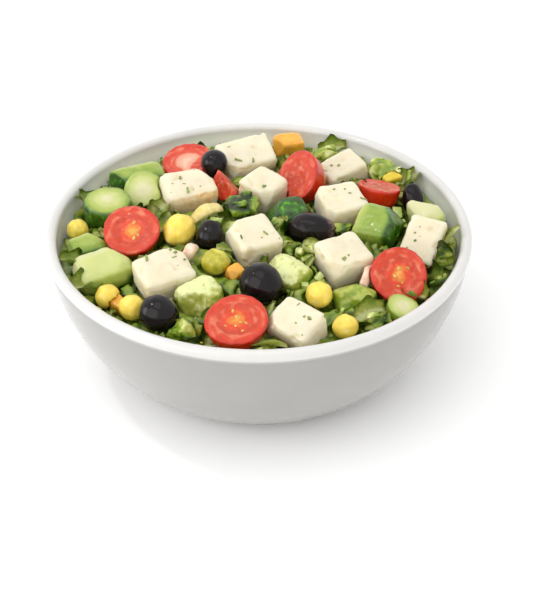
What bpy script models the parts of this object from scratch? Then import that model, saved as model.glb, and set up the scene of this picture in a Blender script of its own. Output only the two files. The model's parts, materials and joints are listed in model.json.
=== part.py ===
"""Greek salad in a white porcelain bowl.

The bowl is turned from one profile. Feta blocks, cherry tomato halves, black olives, chickpeas, cucumber
chunks and pieces of pepper lie on the salad heap, which fills the bowl and carries the chopped leaves.

Positions and sizes in the tables are millimetres, angles are degrees. Z is up, the origin is the middle of
the bowl's foot, and the side that faces the viewer is -Y.
"""

import math
import random

import bmesh
import bpy
from mathutils import Matrix, Vector, noise
from mathutils.bvhtree import BVHTree

MM = 0.001

# Bowl
RIM_RADIUS = 90.0
BOWL_HEIGHT = 64.2
FOOT_RADIUS = 46.7
BEAD_RADIUS = 2.5
WALL_SET_BACK = 1.1
WALL_THICKNESS = 4.0
FLOOR_THICKNESS = 5.0
FOOT_RECESS_DEPTH = 1.5
FOOT_RING_WIDTH = 5.0
OUTER_FULLNESS = (1.156, 1.183)
FOOT_RING_SLOPE = 1.0
FLOOR_SET_IN = 3.0
BEAD_STAND_OFF = 0.6
INNER_WALL_DROP = 1.0
BEAD_START = -45.0
BEAD_SWEEP = 225.0
BOWL_SIDES = 48
WALL_STEPS = 6
INNER_WALL_STEPS = 5
BEAD_STEPS = 5

# Fit between the pieces
GAP = 0.4

# Salad heap: a crowned core with a well for each piece that lies in it
HEAP_EDGE_HEIGHT = 54.5
HEAP_TOP_DROP = 1.6
HEAP_CROWN = 7.5
HEAP_RELIEF = 1.6
HEAP_RELIEF_SPACING = 13.0
HEAP_SIDES = 24
HEAP_RINGS = 6
BLOCK_WELL_SIDES = 4
ROUND_WELL_SIDES = 6
WELL_MERGE = 0.3
ABOVE_SALAD = 40.0

PORCELAIN = ("porcelain", (0.86, 0.86, 0.84), 0.2)
FETA = ("feta", (0.90, 0.85, 0.70), 0.7)
TOMATO = ("tomato", (0.80, 0.07, 0.03), 0.25)
OLIVE = ("black_olive", (0.02, 0.015, 0.02), 0.2)
CHICKPEA = ("chickpea", (0.85, 0.58, 0.12), 0.45)
CUCUMBER = ("cucumber", (0.42, 0.60, 0.16), 0.35)
PEPPER = ("orange_pepper", (0.85, 0.36, 0.05), 0.35)
ONION = ("onion", (0.75, 0.60, 0.50), 0.35)
GREENS = ("greens", (0.14, 0.30, 0.05), 0.5)
LETTUCE_GREEN = ("lettuce", (0.30, 0.48, 0.10), 0.45)

# Each table row: name, place (x, y, z), turn, lean, the way it leans, then the size.
# The place is the middle of the top face, or for round and crumpled pieces the piece's own middle.
# Feta and pepper blocks: width, depth, height, rounding.
BLOCKS = (
    ("feta_1", (-6, 59, 66), 22, 8, -90, (26, 21, 13, 2.2), FETA),
    ("feta_2", (2, 28, 69), -40, 12, -75, (17.5, 16, 14, 2.2), FETA),
    ("feta_3", (-30.8, 25.5, 69.6), 18, 12, -80, (23, 19, 17, 3.4), FETA),
    ("feta_4", (-2, -14, 70.5), 23, 10, -90, (19.5, 21, 14, 2.2), FETA),
    ("feta_5", (-38, -35, 67), 27, 9, -80, (22, 20, 14, 2.8), FETA),
    ("feta_6", (35.5, 15, 69), 19, 8, -90, (19.5, 19, 13, 2.0), FETA),
    ("feta_7", (36.5, 48.5, 65.3), 34, 10, -110, (22.5, 15.5, 12, 2.0), FETA),
    ("feta_8", (35, -26.6, 69.8), 27, 9, -90, (19, 19, 15, 2.2), FETA),
    ("feta_9", (68, -12.2, 65), -25, 28, -105, (16.5, 22, 9.5, 1.8), FETA),
    ("feta_10", (14.5, -68.5, 66), -40, 14, -120, (20, 17, 14, 2.4), FETA),
    ("pepper_1", (13.5, 73.5, 64), 14, 12, -90, (15, 9.5, 9, 2.4), PEPPER),
    ("pepper_2", (-9, -31.5, 62.5), 40, 20, -60, (7.5, 6.5, 8, 1.5), PEPPER),
    ("pepper_3", (-55, -47, 58), 50, 10, -60, (6, 8, 7, 1.4), PEPPER),
    ("pepper_4", (59.5, 42, 62.5), 25, 15, -90, (9, 5, 5, 1.2), PEPPER),
)

# Cherry tomato halves: width across the cut, height of the half.
TOMATO_HALVES = (
    ("tomato_1", (-53, -8, 66), 0, 30, -100, (24, 11.5)),
    ("tomato_2", (-32.3, 52.5, 63.5), 0, 14, -105, (24.5, 11)),
    ("tomato_4", (16.2, 35, 66.3), 0, 50, -150, (24.5, 15)),
    ("tomato_5", (53, 28.6, 65.3), 0, 16, 60, (19, 13.5)),
    ("tomato_6", (56.5, -38, 64.2), 0, 34, -80, (24, 13)),
    ("tomato_7", (-8, -69, 65.3), 0, 14, -95, (25, 12.5)),
)

# Cherry tomato wedges: width, the wedge's angle.
TOMATO_WEDGES = (("tomato_3", (-14.2, 31.3, 66.2), -60, 14, -80, (19, 78)),)

# Olives, by their middle: length, width. The length lies along the piece's own X.
OLIVES = (
    ("olive_1", (-20.2, 46.6, 66), -70, 30, -90, (13, 12.2)),
    ("olive_2", (-20.3, -8.1, 63), 80, 55, -90, (13.5, 12)),
    ("olive_3", (1.4, -43.2, 63.2), -35, 12, -60, (18.4, 17.2)),
    ("olive_4", (-38.4, -60.4, 61.5), -20, 10, -90, (15.6, 15)),
    ("olive_5", (22, -1.8, 62.2), -12, 4, -90, (20.5, 14.6)),
    ("olive_6", (67.5, 24.5, 61), 100, 60, -80, (14, 9.6)),
)

# Chickpeas, by their middle: width. The beak points along the piece's own X.
CHICKPEAS = (
    ("chickpea_1", (-77.6, 4, 58), 110, 35, 120, (9.8,)),
    ("chickpea_2", (-33.5, -3.8, 62.5), -130, 15, -120, (14.4,)),
    ("chickpea_3", (-17, -26, 62), 20, 10, 0, (11.8,)),
    ("chickpea_4", (-60, -43, 57.2), 60, 10, 0, (10.4,)),
    ("chickpea_5", (-50, -52.5, 58.5), 150, 10, 0, (10.8,)),
    ("chickpea_6", (24.6, -48, 61), -60, 10, 0, (11.2,)),
    ("chickpea_7", (33.8, -64.6, 58), 200, 10, 0, (10.2,)),
)

# Whole cucumber slices: width, thickness.
CUCUMBER_SLICES = (
    ("cucumber_1", (-65.3, 16.2, 66), 0, 7, -75, (21, 14)),
    ("cucumber_3", (-50.5, 27, 64.2), 0, 38, -85, (19, 8)),
    ("cucumber_9", (57.4, -51.8, 59.2), 0, 14, -60, (13, 5)),
)

# Chopped chunks with rounded corners: width, depth, height, rounding.
CHOPPED = (
    ("cucumber_2", (-55, 44.5, 63.5), 18, 10, -90, (25, 14, 11, 4.2), CUCUMBER),
    ("cucumber_4", (-63.2, -27.7, 64), 24, 14, -95, (24, 20, 12, 4.8), CUCUMBER),
    ("cucumber_5", (-71.5, -9.5, 61.3), 25, 12, -70, (16, 13, 9, 3.4), CUCUMBER),
    ("cucumber_6", (48.2, -1.5, 67.5), -28, 26, -130, (19, 18, 14, 3.6), CUCUMBER),
    ("cucumber_7", (12, 10, 66), 14, 24, -85, (19.5, 14, 13, 4.4), CUCUMBER),
    ("cucumber_8", (71.3, 10, 66), 22, 20, -115, (14, 17, 13, 4.2), CUCUMBER),
    ("greens_2", (-23, -47, 64.5), 38, 10, -80, (18, 16, 13, 4.6), LETTUCE_GREEN),
    ("greens_3", (11.4, -31.8, 64), -35, 12, -90, (18.5, 16.5, 13, 4.6), LETTUCE_GREEN),
)

# Onion slivers: length, width, thickness.
ONIONS = (
    ("onion_1", (44.5, -36, 64), 75, 25, -60, (12, 5, 2.6)),
    ("onion_2", (-22.1, 9, 66), 38, 12, -60, (15, 6.5, 4)),
    ("onion_3", (-27.6, -21, 66), 65, 20, -60, (9, 6, 4.5)),
)

# The outline across a sliver, as shares of half its width and half its thickness.
SLIVER_OUTLINE = (
    (-1, -0.35), (-0.55, -1), (0.55, -1), (1, -0.35),
    (1, 0.35), (0.55, 1), (-0.55, 1), (-1, 0.35),
)

# Crumpled chunks of lettuce and broccoli, by their middle: length, width, height.
LETTUCE = (
    ("greens_1", (-8.5, 14.2, 63.5), 15, 10, -90, (17.5, 14, 13)),
    ("greens_4", (38.2, -45.5, 58), 5, 0, 0, (20, 14, 12)),
    ("greens_5", (-28, -67, 57.5), 10, 0, 0, (14.5, 12, 11)),
    ("greens_6", (56.8, 50, 60), 133, 0, 0, (20, 13, 12)),
    ("greens_7", (30.5, 66.5, 59.5), -15, 0, 0, (17, 11, 10)),
    ("greens_8", (36, 1.5, 59), 0, 0, 0, (17, 10, 10)),
    ("greens_9", (19.5, -17, 59.5), 60, 0, 0, (11, 9, 11)),
    ("greens_10", (47, -59, 56.5), 35, 0, 0, (13, 9, 9)),
)

# Leaf pieces fused to the heap, by their middle: place, turn, lean, the way it leans, length, width, curl.
LEAVES = (
    ((73.5, -21, 58), 60, 35, 160, 17, 13, 2.0),
    ((71, -34, 57), 45, 35, 150, 16, 12, 2.0),
    ((64, 44, 59), 80, 30, -130, 14, 11, 2.2),
    ((-70, -33, 57), 30, 28, -60, 12, 9, 1.8),
    ((78, -4, 58), 85, 55, 180, 17, 9, 1.4),
    ((-41, 8, 61), 120, 20, -90, 12, 9, 1.8),
    ((2, -77, 57), 5, 30, -90, 12, 7, 1.6),
    ((-20, 66, 56.5), 20, 25, -90, 14, 9, 2.0),
    ((-64, 37, 58), 120, 20, -60, 14, 10, 2.0),
    ((45, -12, 60), 100, 20, -90, 14, 9, 1.8),
    ((-46, 40, 61), 40, 15, -90, 12, 8, 1.8),
    ((45, 34, 60), 120, 20, -90, 12, 9, 1.8),
)
LEAF_THICKNESS = 1.5
LEAF_CELLS = (4, 3)

# Small chopped chunks, fused to the heap by rule where no larger piece lies.
CHUNK_COUNT = 40
CHUNK_SIZES = (8.0, 12.0)
CHUNK_EDGE_RADIUS = 77.0
CHUNK_RISE = 0.12
CHUNK_ROOM = 0.25
GOLDEN_ANGLE = math.radians(137.508)

# Form of a hand-cut block: how far its corners stray, as shares of its size, and how deep one corner crumbles
BLOCK_SKEW = (0.05, 0.05, 0.03)
BLOCK_EDGE_STEPS = 2
CRUMBLE_DEPTH = 1.7
BLOCK_MERGE = 0.15

# Form of a tomato half: (share of the radius, height) of its lip and of the shallow hollow inside the lip
HALF_SIDES = 18
HALF_SKIN_STEPS = 4
HALF_POLE_STEP = 0.6
HALF_LIP = (0.955, 0.35)
HALF_HOLLOW = (0.62, -0.1)
HALF_MIDDLE = -0.3
HALF_WOBBLE = (0.025, 0.015)

# Form of a tomato wedge
WEDGE_STEPS = 6
WEDGE_RISES = 7
WEDGE_SPREAD = 0.02
WEDGE_FLATTENING = 0.92

# Form of an olive: shares of its length and width
OLIVE_SIDES = 12
OLIVE_STEPS = 6
OLIVE_POLE_STEP = 0.55
OLIVE_FAT_END = (0.04, 0.09)
STONE_HOLE = 0.13
STONE_HOLE_LIP = 1.6
STONE_HOLE_INSET = 0.2
STONE_HOLE_DEPTH = 0.12

# Form of a chickpea: shares of its width
CHICKPEA_SIDES = 9
CHICKPEA_STEPS = 5
CHICKPEA_POLE_STEPS = (0.7, 0.4)
CHICKPEA_CREASE = 0.09
CHICKPEA_CREASE_SIDES = (2, 3)
CHICKPEA_UNEVENNESS = 0.012
CHICKPEA_BEAK = (0.58, 0.04)

# Form of a cucumber slice: (share of the thickness, share of the radius) of each ring
SLICE_SIDES = 14
SLICE_RINGS = ((-0.5, 0.88), (-0.36, 1.0), (0.36, 1.0), (0.5, 0.90))
SLICE_WOBBLE = 0.04

# Form of a crumpled chunk of greens: (folds round it, their depth as a share of its size)
CRUMPLE_FOLDS = ((2.3, 0.16), (4.1, 0.08))
CRUMPLE_RANGE = 9.0

# Form of an onion sliver: shares of its length, width and thickness
SLIVER_STEPS = 5
SLIVER_BEND = (0.16, 0.22)
SLIVER_TAPER = (0.55, 0.12)
SLIVER_THINNING = 0.7

# Form of a torn leaf piece: its taper, and the waves along and across it as (turns, share, skew)
LEAF_TAPER = (0.55, 2.2)
LEAF_ROUND_END = 0.2
LEAF_WAVES = (5.2, 0.55, 7.0, 0.45, 1.7)
LEAF_CUP = 2.4

# Form of a chopped chunk
CHUNK_UNEVENNESS = (0.82, 1.12)
CHUNK_FLATTENING = 0.8

# Angle between faces above which an edge stays sharp to the eye
SMOOTH_ANGLE = 50.0
BOWL_SMOOTH_ANGLE = 35.0

made_materials = {}


def clear_scene():
    for obj in list(bpy.data.objects):
        bpy.data.objects.remove(obj, do_unlink=True)


def material(finish):
    """The Principled material for a finish: name, base colour and roughness."""
    name, colour, roughness = finish
    if name not in made_materials:
        mat = bpy.data.materials.new(name)
        mat.use_nodes = True
        shader = mat.node_tree.nodes["Principled BSDF"]
        shader.inputs["Base Color"].default_value = (*colour, 1.0)
        shader.inputs["Roughness"].default_value = roughness
        shader.inputs["Metallic"].default_value = 0.0
        made_materials[name] = mat
    return made_materials[name]


def object_from(bm, name, finish, smooth_angle=SMOOTH_ANGLE):
    """A new object from a bmesh in millimetres, with its faces pointing out and its material set."""
    bmesh.ops.recalc_face_normals(bm, faces=bm.faces)
    bmesh.ops.scale(bm, vec=Vector((MM, MM, MM)), verts=bm.verts)
    mesh = bpy.data.meshes.new(name)
    bm.to_mesh(mesh)
    bm.free()
    mesh.shade_smooth()
    mesh.set_sharp_from_angle(angle=math.radians(smooth_angle))
    mesh.materials.append(material(finish))
    obj = bpy.data.objects.new(name, mesh)
    bpy.context.scene.collection.objects.link(obj)
    return obj


def stance(turn, lean, toward):
    """Turned about the piece's own Z, then leaned so that its Z tips toward that compass direction."""
    heading = math.radians(toward)
    axis = Vector((-math.sin(heading), math.cos(heading), 0))
    return Matrix.Rotation(math.radians(lean), 4, axis) @ Matrix.Rotation(math.radians(turn), 4, "Z")


def stand(obj, top, turn, lean, toward, height):
    """Places the piece with the middle of its top face at that point."""
    rotation = stance(turn, lean, toward)
    middle = Vector(top) - rotation.to_3x3() @ Vector((0, 0, height / 2))
    obj.matrix_world = Matrix.Translation(middle * MM) @ rotation
    return obj


def centred(bm):
    """Moves the shape so that the middle of its bounds is at the origin."""
    low = Vector(min(v.co[i] for v in bm.verts) for i in range(3))
    high = Vector(max(v.co[i] for v in bm.verts) for i in range(3))
    bmesh.ops.translate(bm, vec=-(low + high) / 2, verts=bm.verts)


def rings_to_solid(rings, poles=(None, None)):
    """A closed skin over rings of equal length. An end closes on its pole, or with one flat face."""
    bm = bmesh.new()
    loops = [[bm.verts.new(point) for point in ring] for ring in rings]
    for lower, upper in zip(loops, loops[1:]):
        for i, corner in enumerate(lower):
            after = (i + 1) % len(lower)
            bm.faces.new((corner, lower[after], upper[after], upper[i]))
    for loop, pole in ((loops[0], poles[0]), (loops[-1], poles[1])):
        if pole is None:
            bm.faces.new(loop)
            continue
        tip = bm.verts.new(pole)
        for i, corner in enumerate(loop):
            bm.faces.new((corner, loop[(i + 1) % len(loop)], tip))
    return bm


def wall_curve(foot_radius, rim_radius, low, high, steps):
    """Points (r, z) up the bowl's rounded wall, from the foot to the upright stretch under the rim."""
    points = []
    for i in range(1, steps + 1):
        angle = i / steps * math.pi / 2
        r = foot_radius + (rim_radius - foot_radius) * math.sin(angle) ** OUTER_FULLNESS[0]
        z = low + (high - low) * (1 - math.cos(angle) ** OUTER_FULLNESS[1])
        points.append((r, z))
    return points


def bowl_profile():
    """(r, z) from the middle of the underside, out round the rim bead and back to the middle of the floor."""
    ring_inner = FOOT_RADIUS - FOOT_RING_WIDTH
    under = [(ring_inner - FOOT_RING_SLOPE, FOOT_RECESS_DEPTH), (ring_inner, 0.0), (FOOT_RADIUS, 0.0)]
    outer_top = BOWL_HEIGHT - 2 * BEAD_RADIUS - BEAD_STAND_OFF
    outer = wall_curve(FOOT_RADIUS, RIM_RADIUS - WALL_SET_BACK, 0.0, outer_top, WALL_STEPS)
    bead = []
    for i in range(BEAD_STEPS + 1):
        angle = math.radians(BEAD_START + BEAD_SWEEP * i / BEAD_STEPS)
        r = RIM_RADIUS - BEAD_RADIUS + BEAD_RADIUS * math.cos(angle)
        bead.append((r, BOWL_HEIGHT - BEAD_RADIUS + BEAD_RADIUS * math.sin(angle)))
    inner_rim = RIM_RADIUS - WALL_SET_BACK - WALL_THICKNESS
    inner_foot = FOOT_RADIUS - FLOOR_SET_IN
    inner_top = outer_top - INNER_WALL_DROP
    inner = wall_curve(inner_foot, inner_rim, FLOOR_THICKNESS, inner_top, INNER_WALL_STEPS)
    return under + outer + bead + inner[::-1] + [(inner_foot, FLOOR_THICKNESS)]


def turned(profile, sides, low_pole, high_pole):
    """The closed solid swept by a profile of (r, z) points about Z."""
    rings = []
    for r, z in profile:
        turns = (2 * math.pi * i / sides for i in range(sides))
        rings.append([Vector((r * math.cos(a), r * math.sin(a), z)) for a in turns])
    return rings_to_solid(rings, (Vector((0, 0, low_pole)), Vector((0, 0, high_pole))))


def make_bowl():
    bm = turned(bowl_profile(), BOWL_SIDES, FOOT_RECESS_DEPTH, FLOOR_THICKNESS)
    return object_from(bm, "bowl", PORCELAIN, BOWL_SMOOTH_ANGLE)


def heap_wall():
    """(r, z) up the heap's side: the bowl's inside less the gap, up to just below the rim."""
    inner_rim = RIM_RADIUS - WALL_SET_BACK - WALL_THICKNESS - GAP
    top = BOWL_HEIGHT - 2 * BEAD_RADIUS - HEAP_TOP_DROP
    foot_r, foot_z = FOOT_RADIUS - FLOOR_SET_IN - GAP, FLOOR_THICKNESS + GAP
    return [(foot_r, foot_z)] + wall_curve(foot_r, inner_rim, foot_z, top, INNER_WALL_STEPS)


def inside_of_bowl():
    """The space that the leaves may fill, carried straight up past the rim."""
    wall = heap_wall()
    profile = wall + [(wall[-1][0] - BEAD_STAND_OFF, BOWL_HEIGHT + ABOVE_SALAD)]
    bm = turned(profile, HEAP_SIDES, FLOOR_THICKNESS + GAP, BOWL_HEIGHT + ABOVE_SALAD)
    return object_from(bm, "inside_of_bowl", GREENS)


def block(rng, width, depth, height, rounding):
    """A hand-cut block: corners a little off square, rounded edges and one crumbled corner."""
    bm = bmesh.new()
    bmesh.ops.create_cube(bm, size=1.0)
    bmesh.ops.scale(bm, vec=Vector((width, depth, height)), verts=bm.verts)
    for vert in bm.verts:
        for axis, size in enumerate((width, depth, height)):
            vert.co[axis] += rng.uniform(-1, 1) * BLOCK_SKEW[axis] * size
    crumbled = rng.choice([v for v in bm.verts if v.co.z > 0]).co.copy()
    bmesh.ops.bevel(
        bm, geom=bm.edges[:], offset=rounding, segments=BLOCK_EDGE_STEPS, profile=0.5, affect="EDGES",
        clamp_overlap=True)
    out = crumbled.normalized()
    geometry = bm.verts[:] + bm.edges[:] + bm.faces[:]
    bmesh.ops.bisect_plane(
        bm, geom=geometry, plane_co=crumbled - out * rounding * CRUMBLE_DEPTH, plane_no=out, clear_outer=True)
    bmesh.ops.holes_fill(bm, edges=[e for e in bm.edges if e.is_boundary])
    bmesh.ops.remove_doubles(bm, verts=bm.verts, dist=BLOCK_MERGE)
    centred(bm)
    return bm


def tomato_half(rng, width, height):
    """Half a cherry tomato: a flat cut face, slightly hollow where the seeds sit, over a round skin side."""
    phase = rng.uniform(0, math.tau)
    rings = []
    for step in range(HALF_SKIN_STEPS):
        angle = math.pi / 2 * (step + HALF_POLE_STEP) / (HALF_SKIN_STEPS - 1 + HALF_POLE_STEP)
        rings.append((math.sin(angle), -height * math.cos(angle)))
    rings += [HALF_LIP, HALF_HOLLOW]
    broad, fine = HALF_WOBBLE
    loops = []
    for share, z in rings:
        loop = []
        for i in range(HALF_SIDES):
            turn = math.tau * i / HALF_SIDES
            wobble = 1 + broad * math.cos(2 * turn + phase) + fine * math.cos(3 * turn - phase)
            radius = width / 2 * share * wobble
            loop.append(Vector((radius * math.cos(turn), radius * math.sin(turn), z)))
        loops.append(loop)
    bm = rings_to_solid(loops, (Vector((0, 0, -height)), Vector((0, 0, HALF_MIDDLE))))
    centred(bm)
    return bm


def tomato_wedge(rng, width, angle):
    """A wedge of cherry tomato: skin outside, and two flat cuts that meet at the fruit's middle line."""
    sweep = math.radians(angle)
    radius = width / 2 * rng.uniform(1 - WEDGE_SPREAD, 1 + WEDGE_SPREAD)
    tall = radius * WEDGE_FLATTENING
    bm = bmesh.new()
    ends = [bm.verts.new((0, 0, tall)), bm.verts.new((0, 0, -tall))]
    columns = []
    for step in range(WEDGE_STEPS + 1):
        turn = sweep * (step / WEDGE_STEPS - 0.5)
        column = []
        for rise in range(1, WEDGE_RISES):
            tilt = math.pi * rise / WEDGE_RISES
            across = radius * math.sin(tilt)
            point = (across * math.cos(turn), across * math.sin(turn), tall * math.cos(tilt))
            column.append(bm.verts.new(point))
        columns.append([ends[0], *column, ends[1]])
    for left, right in zip(columns, columns[1:]):
        for i in range(WEDGE_RISES):
            corners = dict.fromkeys((left[i], left[i + 1], right[i + 1], right[i]))
            bm.faces.new(list(corners))
    bm.faces.new(columns[0])
    bm.faces.new(columns[-1][::-1])
    bmesh.ops.triangulate(bm, faces=[f for f in bm.faces if len(f.verts) > 4])
    bmesh.ops.rotate(bm, matrix=Matrix.Rotation(math.radians(-90), 3, "Y"), verts=bm.verts)
    bmesh.ops.rotate(bm, matrix=Matrix.Rotation(math.radians(180), 3, "X"), verts=bm.verts)
    centred(bm)
    return bm


def olive(rng, length, width):
    """A stoned olive lying along X: egg-shaped, with the hole of the stone at one end."""
    fat_end = rng.uniform(*OLIVE_FAT_END)
    hole = width * STONE_HOLE
    profile = []
    for step in range(OLIVE_STEPS):
        angle = math.pi * (step + OLIVE_POLE_STEP) / (OLIVE_STEPS - 1 + 2 * OLIVE_POLE_STEP)
        along = -math.cos(angle)
        profile.append((length / 2 * along, width / 2 * math.sin(angle) * (1 - fat_end * along)))
    mouth, lip = profile[-1]
    profile[-1] = (mouth, max(lip, hole * STONE_HOLE_LIP))
    profile.append((mouth + STONE_HOLE_INSET, hole))
    loops = []
    for x, radius in profile:
        turns = (math.tau * i / OLIVE_SIDES for i in range(OLIVE_SIDES))
        loops.append([Vector((x, radius * math.cos(a), radius * math.sin(a))) for a in turns])
    bottom = Vector((mouth - length * STONE_HOLE_DEPTH, 0, 0))
    bm = rings_to_solid(loops, (Vector((-length / 2, 0, 0)), bottom))
    centred(bm)
    return bm


def chickpea(rng, width):
    """A cooked chickpea: round, with the small beak along X and the crease that runs into it."""
    first, last = CHICKPEA_POLE_STEPS
    loops = []
    for step in range(CHICKPEA_STEPS):
        angle = math.pi * (step + first) / (CHICKPEA_STEPS + last)
        along = -math.cos(angle)
        loop = []
        for i in range(CHICKPEA_SIDES):
            turn = math.tau * i / CHICKPEA_SIDES
            crease = CHICKPEA_CREASE * max(0, along) if i in CHICKPEA_CREASE_SIDES else 0
            uneven = rng.uniform(-CHICKPEA_UNEVENNESS, CHICKPEA_UNEVENNESS)
            radius = width / 2 * math.sin(angle) * (1 - crease + uneven)
            loop.append(Vector((width / 2 * along, radius * math.cos(turn), radius * math.sin(turn))))
        loops.append(loop)
    beak = Vector((width * CHICKPEA_BEAK[0], 0, width * CHICKPEA_BEAK[1]))
    bm = rings_to_solid(loops, (Vector((-width / 2, 0, 0)), beak))
    centred(bm)
    return bm


def cucumber_slice(rng, width, thickness):
    """A whole thick slice of a small cucumber, a little out of round."""
    phase = rng.uniform(0, math.tau)
    rings = []
    for share, shrink in SLICE_RINGS:
        ring = []
        for i in range(SLICE_SIDES):
            turn = math.tau * i / SLICE_SIDES
            radius = width / 2 * shrink * (1 + SLICE_WOBBLE * math.cos(2 * turn + phase))
            ring.append(Vector((radius * math.cos(turn), radius * math.sin(turn), share * thickness)))
        rings.append(ring)
    bm = rings_to_solid(rings)
    bmesh.ops.triangulate(bm, faces=[f for f in bm.faces if len(f.verts) > 4])
    return bm


def crumpled(rng, length, width, height):
    """A crumpled chunk of greens: a round body pressed into folds."""
    bm = bmesh.new()
    bmesh.ops.create_icosphere(bm, subdivisions=2, radius=0.5)
    shift = Vector(rng.uniform(-CRUMPLE_RANGE, CRUMPLE_RANGE) for _ in range(3))
    (broad, broad_depth), (fine, fine_depth) = CRUMPLE_FOLDS
    for vert in bm.verts:
        way = vert.co.normalized()
        fold = noise.noise(way * broad + shift) * broad_depth + noise.noise(way * fine - shift) * fine_depth
        vert.co = way * (0.5 + fold)
        vert.co.x *= length
        vert.co.y *= width
        vert.co.z *= height
    centred(bm)
    return bm


def onion_sliver(rng, length, width, thickness):
    """A short strip of onion, bent like the layer that it was cut from."""
    bend = rng.uniform(*SLIVER_BEND) * length
    narrow, cut_off = SLIVER_TAPER
    rings = []
    for step in range(SLIVER_STEPS + 1):
        share = step / SLIVER_STEPS
        x = (share - 0.5) * length
        z = bend * (1 - (2 * share - 1) ** 2)
        swell = math.sin(math.pi * (cut_off + (1 - 2 * cut_off) * share))
        half = width / 2 * (narrow + (1 - narrow) * swell)
        deep = thickness / 2 * (SLIVER_THINNING + (1 - SLIVER_THINNING) * math.sin(math.pi * share))
        rings.append([Vector((x, half * across, z + deep * up)) for across, up in SLIVER_OUTLINE])
    bm = rings_to_solid(rings)
    centred(bm)
    return bm


def leaf_piece(rng, length, width, curl):
    """A torn piece of leaf: a thin wavy solid whose two faces are split into triangles alike."""
    along, across = LEAF_CELLS
    taper_share, taper_power = LEAF_TAPER
    long_turns, long_share, cross_turns, cross_share, skew = LEAF_WAVES
    phase = rng.uniform(0, math.tau)
    bm = bmesh.new()
    sheets = []
    for side in (-0.5, 0.5):
        sheet = []
        for i in range(along + 1):
            for j in range(across + 1):
                u, v = i / along - 0.5, j / across - 0.5
                taper = 1 - taper_share * abs(2 * u) ** taper_power
                x = length * u * (1 - LEAF_ROUND_END * (2 * v) ** 2)
                y = width * v * taper
                wave = long_share * math.sin(long_turns * u + phase)
                wave += cross_share * math.cos(cross_turns * v + skew * u + phase)
                z = curl * (wave + LEAF_CUP * v * v) + side * LEAF_THICKNESS
                sheet.append(bm.verts.new((x, y, z)))
        sheets.append(sheet)
    row = across + 1
    for i in range(along):
        for j in range(across):
            a, b, c, d = i * row + j, (i + 1) * row + j, (i + 1) * row + j + 1, i * row + j + 1
            for sheet in sheets:
                bm.faces.new((sheet[a], sheet[b], sheet[c]))
                bm.faces.new((sheet[a], sheet[c], sheet[d]))
    edge = list(range(across))
    edge += [i * row + across for i in range(along)]
    edge += [along * row + j for j in range(across, 0, -1)]
    edge += [i * row for i in range(along, 0, -1)]
    low, high = sheets
    for here, there in zip(edge, edge[1:] + edge[:1]):
        bm.faces.new((low[here], low[there], high[there], high[here]))
    return bm


def lump(rng, size):
    """A small chopped chunk with a few flat cuts."""
    bm = bmesh.new()
    bmesh.ops.create_icosphere(bm, subdivisions=1, radius=size / 2)
    for vert in bm.verts:
        vert.co *= rng.uniform(*CHUNK_UNEVENNESS)
        vert.co.z *= CHUNK_FLATTENING
    return bm


def placed(kind, shape, row, finish, height_of):
    """One piece from its table row: name, place, turn, lean, way and size."""
    name, place, turn, lean, toward, size = row
    rng = random.Random(f"{kind} {name}")
    return stand(object_from(shape(rng, *size), name, finish), place, turn, lean, toward, height_of(size))


def make_toppings():
    """Every separate piece that lies on the heap, the ones that keep their whole form first."""
    made = [placed("block", block, row[:-1], row[-1], lambda size: size[2]) for row in BLOCKS]
    made += [placed("olive", olive, row, OLIVE, lambda size: 0) for row in OLIVES]
    made += [placed("half", tomato_half, row, TOMATO, lambda size: size[1]) for row in TOMATO_HALVES]
    made += [placed("wedge", tomato_wedge, row, TOMATO, lambda size: size[0] / 2) for row in TOMATO_WEDGES]
    made += [placed("chickpea", chickpea, row, CHICKPEA, lambda size: 0) for row in CHICKPEAS]
    made += [placed("onion", onion_sliver, row, ONION, lambda size: size[2]) for row in ONIONS]
    made += [placed("slice", cucumber_slice, row, CUCUMBER, lambda size: size[1]) for row in CUCUMBER_SLICES]
    made += [placed("chopped", block, row[:-1], row[-1], lambda size: size[2]) for row in CHOPPED]
    made += [placed("greens", crumpled, row, LETTUCE_GREEN, lambda size: 0) for row in LETTUCE]
    return made


def world_tree(objects):
    """One search tree over the objects' meshes, in metres."""
    points, faces = [], []
    for obj in objects:
        start = len(points)
        points += [obj.matrix_world @ v.co for v in obj.data.vertices]
        faces += [[start + i for i in polygon.vertices] for polygon in obj.data.polygons]
    return BVHTree.FromPolygons(points, faces)


def boolean(obj, operation, cutter=None, collection=None):
    """Applies one Boolean to the object's mesh and leaves no modifier on it."""
    modifier = obj.modifiers.new("boolean", "BOOLEAN")
    modifier.operation = operation
    modifier.solver = "EXACT"
    if collection is None:
        modifier.object = cutter
    else:
        modifier.operand_type = "COLLECTION"
        modifier.collection = collection
    bpy.context.view_layer.update()
    graph = bpy.context.evaluated_depsgraph_get()
    result = bpy.data.meshes.new_from_object(obj.evaluated_get(graph))
    obj.modifiers.remove(modifier)
    obj.data = result


def grown(obj, by):
    """A copy of a piece, larger by that much on every side, to cut its neighbours with."""
    cutter = bpy.data.objects.new("cutter", obj.data.copy())
    bpy.context.scene.collection.objects.link(cutter)
    growth = Matrix.Diagonal([(size + 2 * by * MM) / size for size in obj.dimensions] + [1.0])
    cutter.matrix_world = obj.matrix_world @ growth
    return cutter


def overlap(first, second):
    """Whether two objects' surfaces cross."""
    return bool(world_tree([first]).overlap(world_tree([second])))


def fit_to_neighbours(pieces):
    """Where two pieces would cross, the later one is cut back, so that they only lie against each other."""
    for i, later in enumerate(pieces):
        for earlier in pieces[:i]:
            cutter = grown(earlier, GAP)
            if overlap(cutter, later):
                boolean(later, "DIFFERENCE", cutter)
            bpy.data.objects.remove(cutter)


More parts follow.
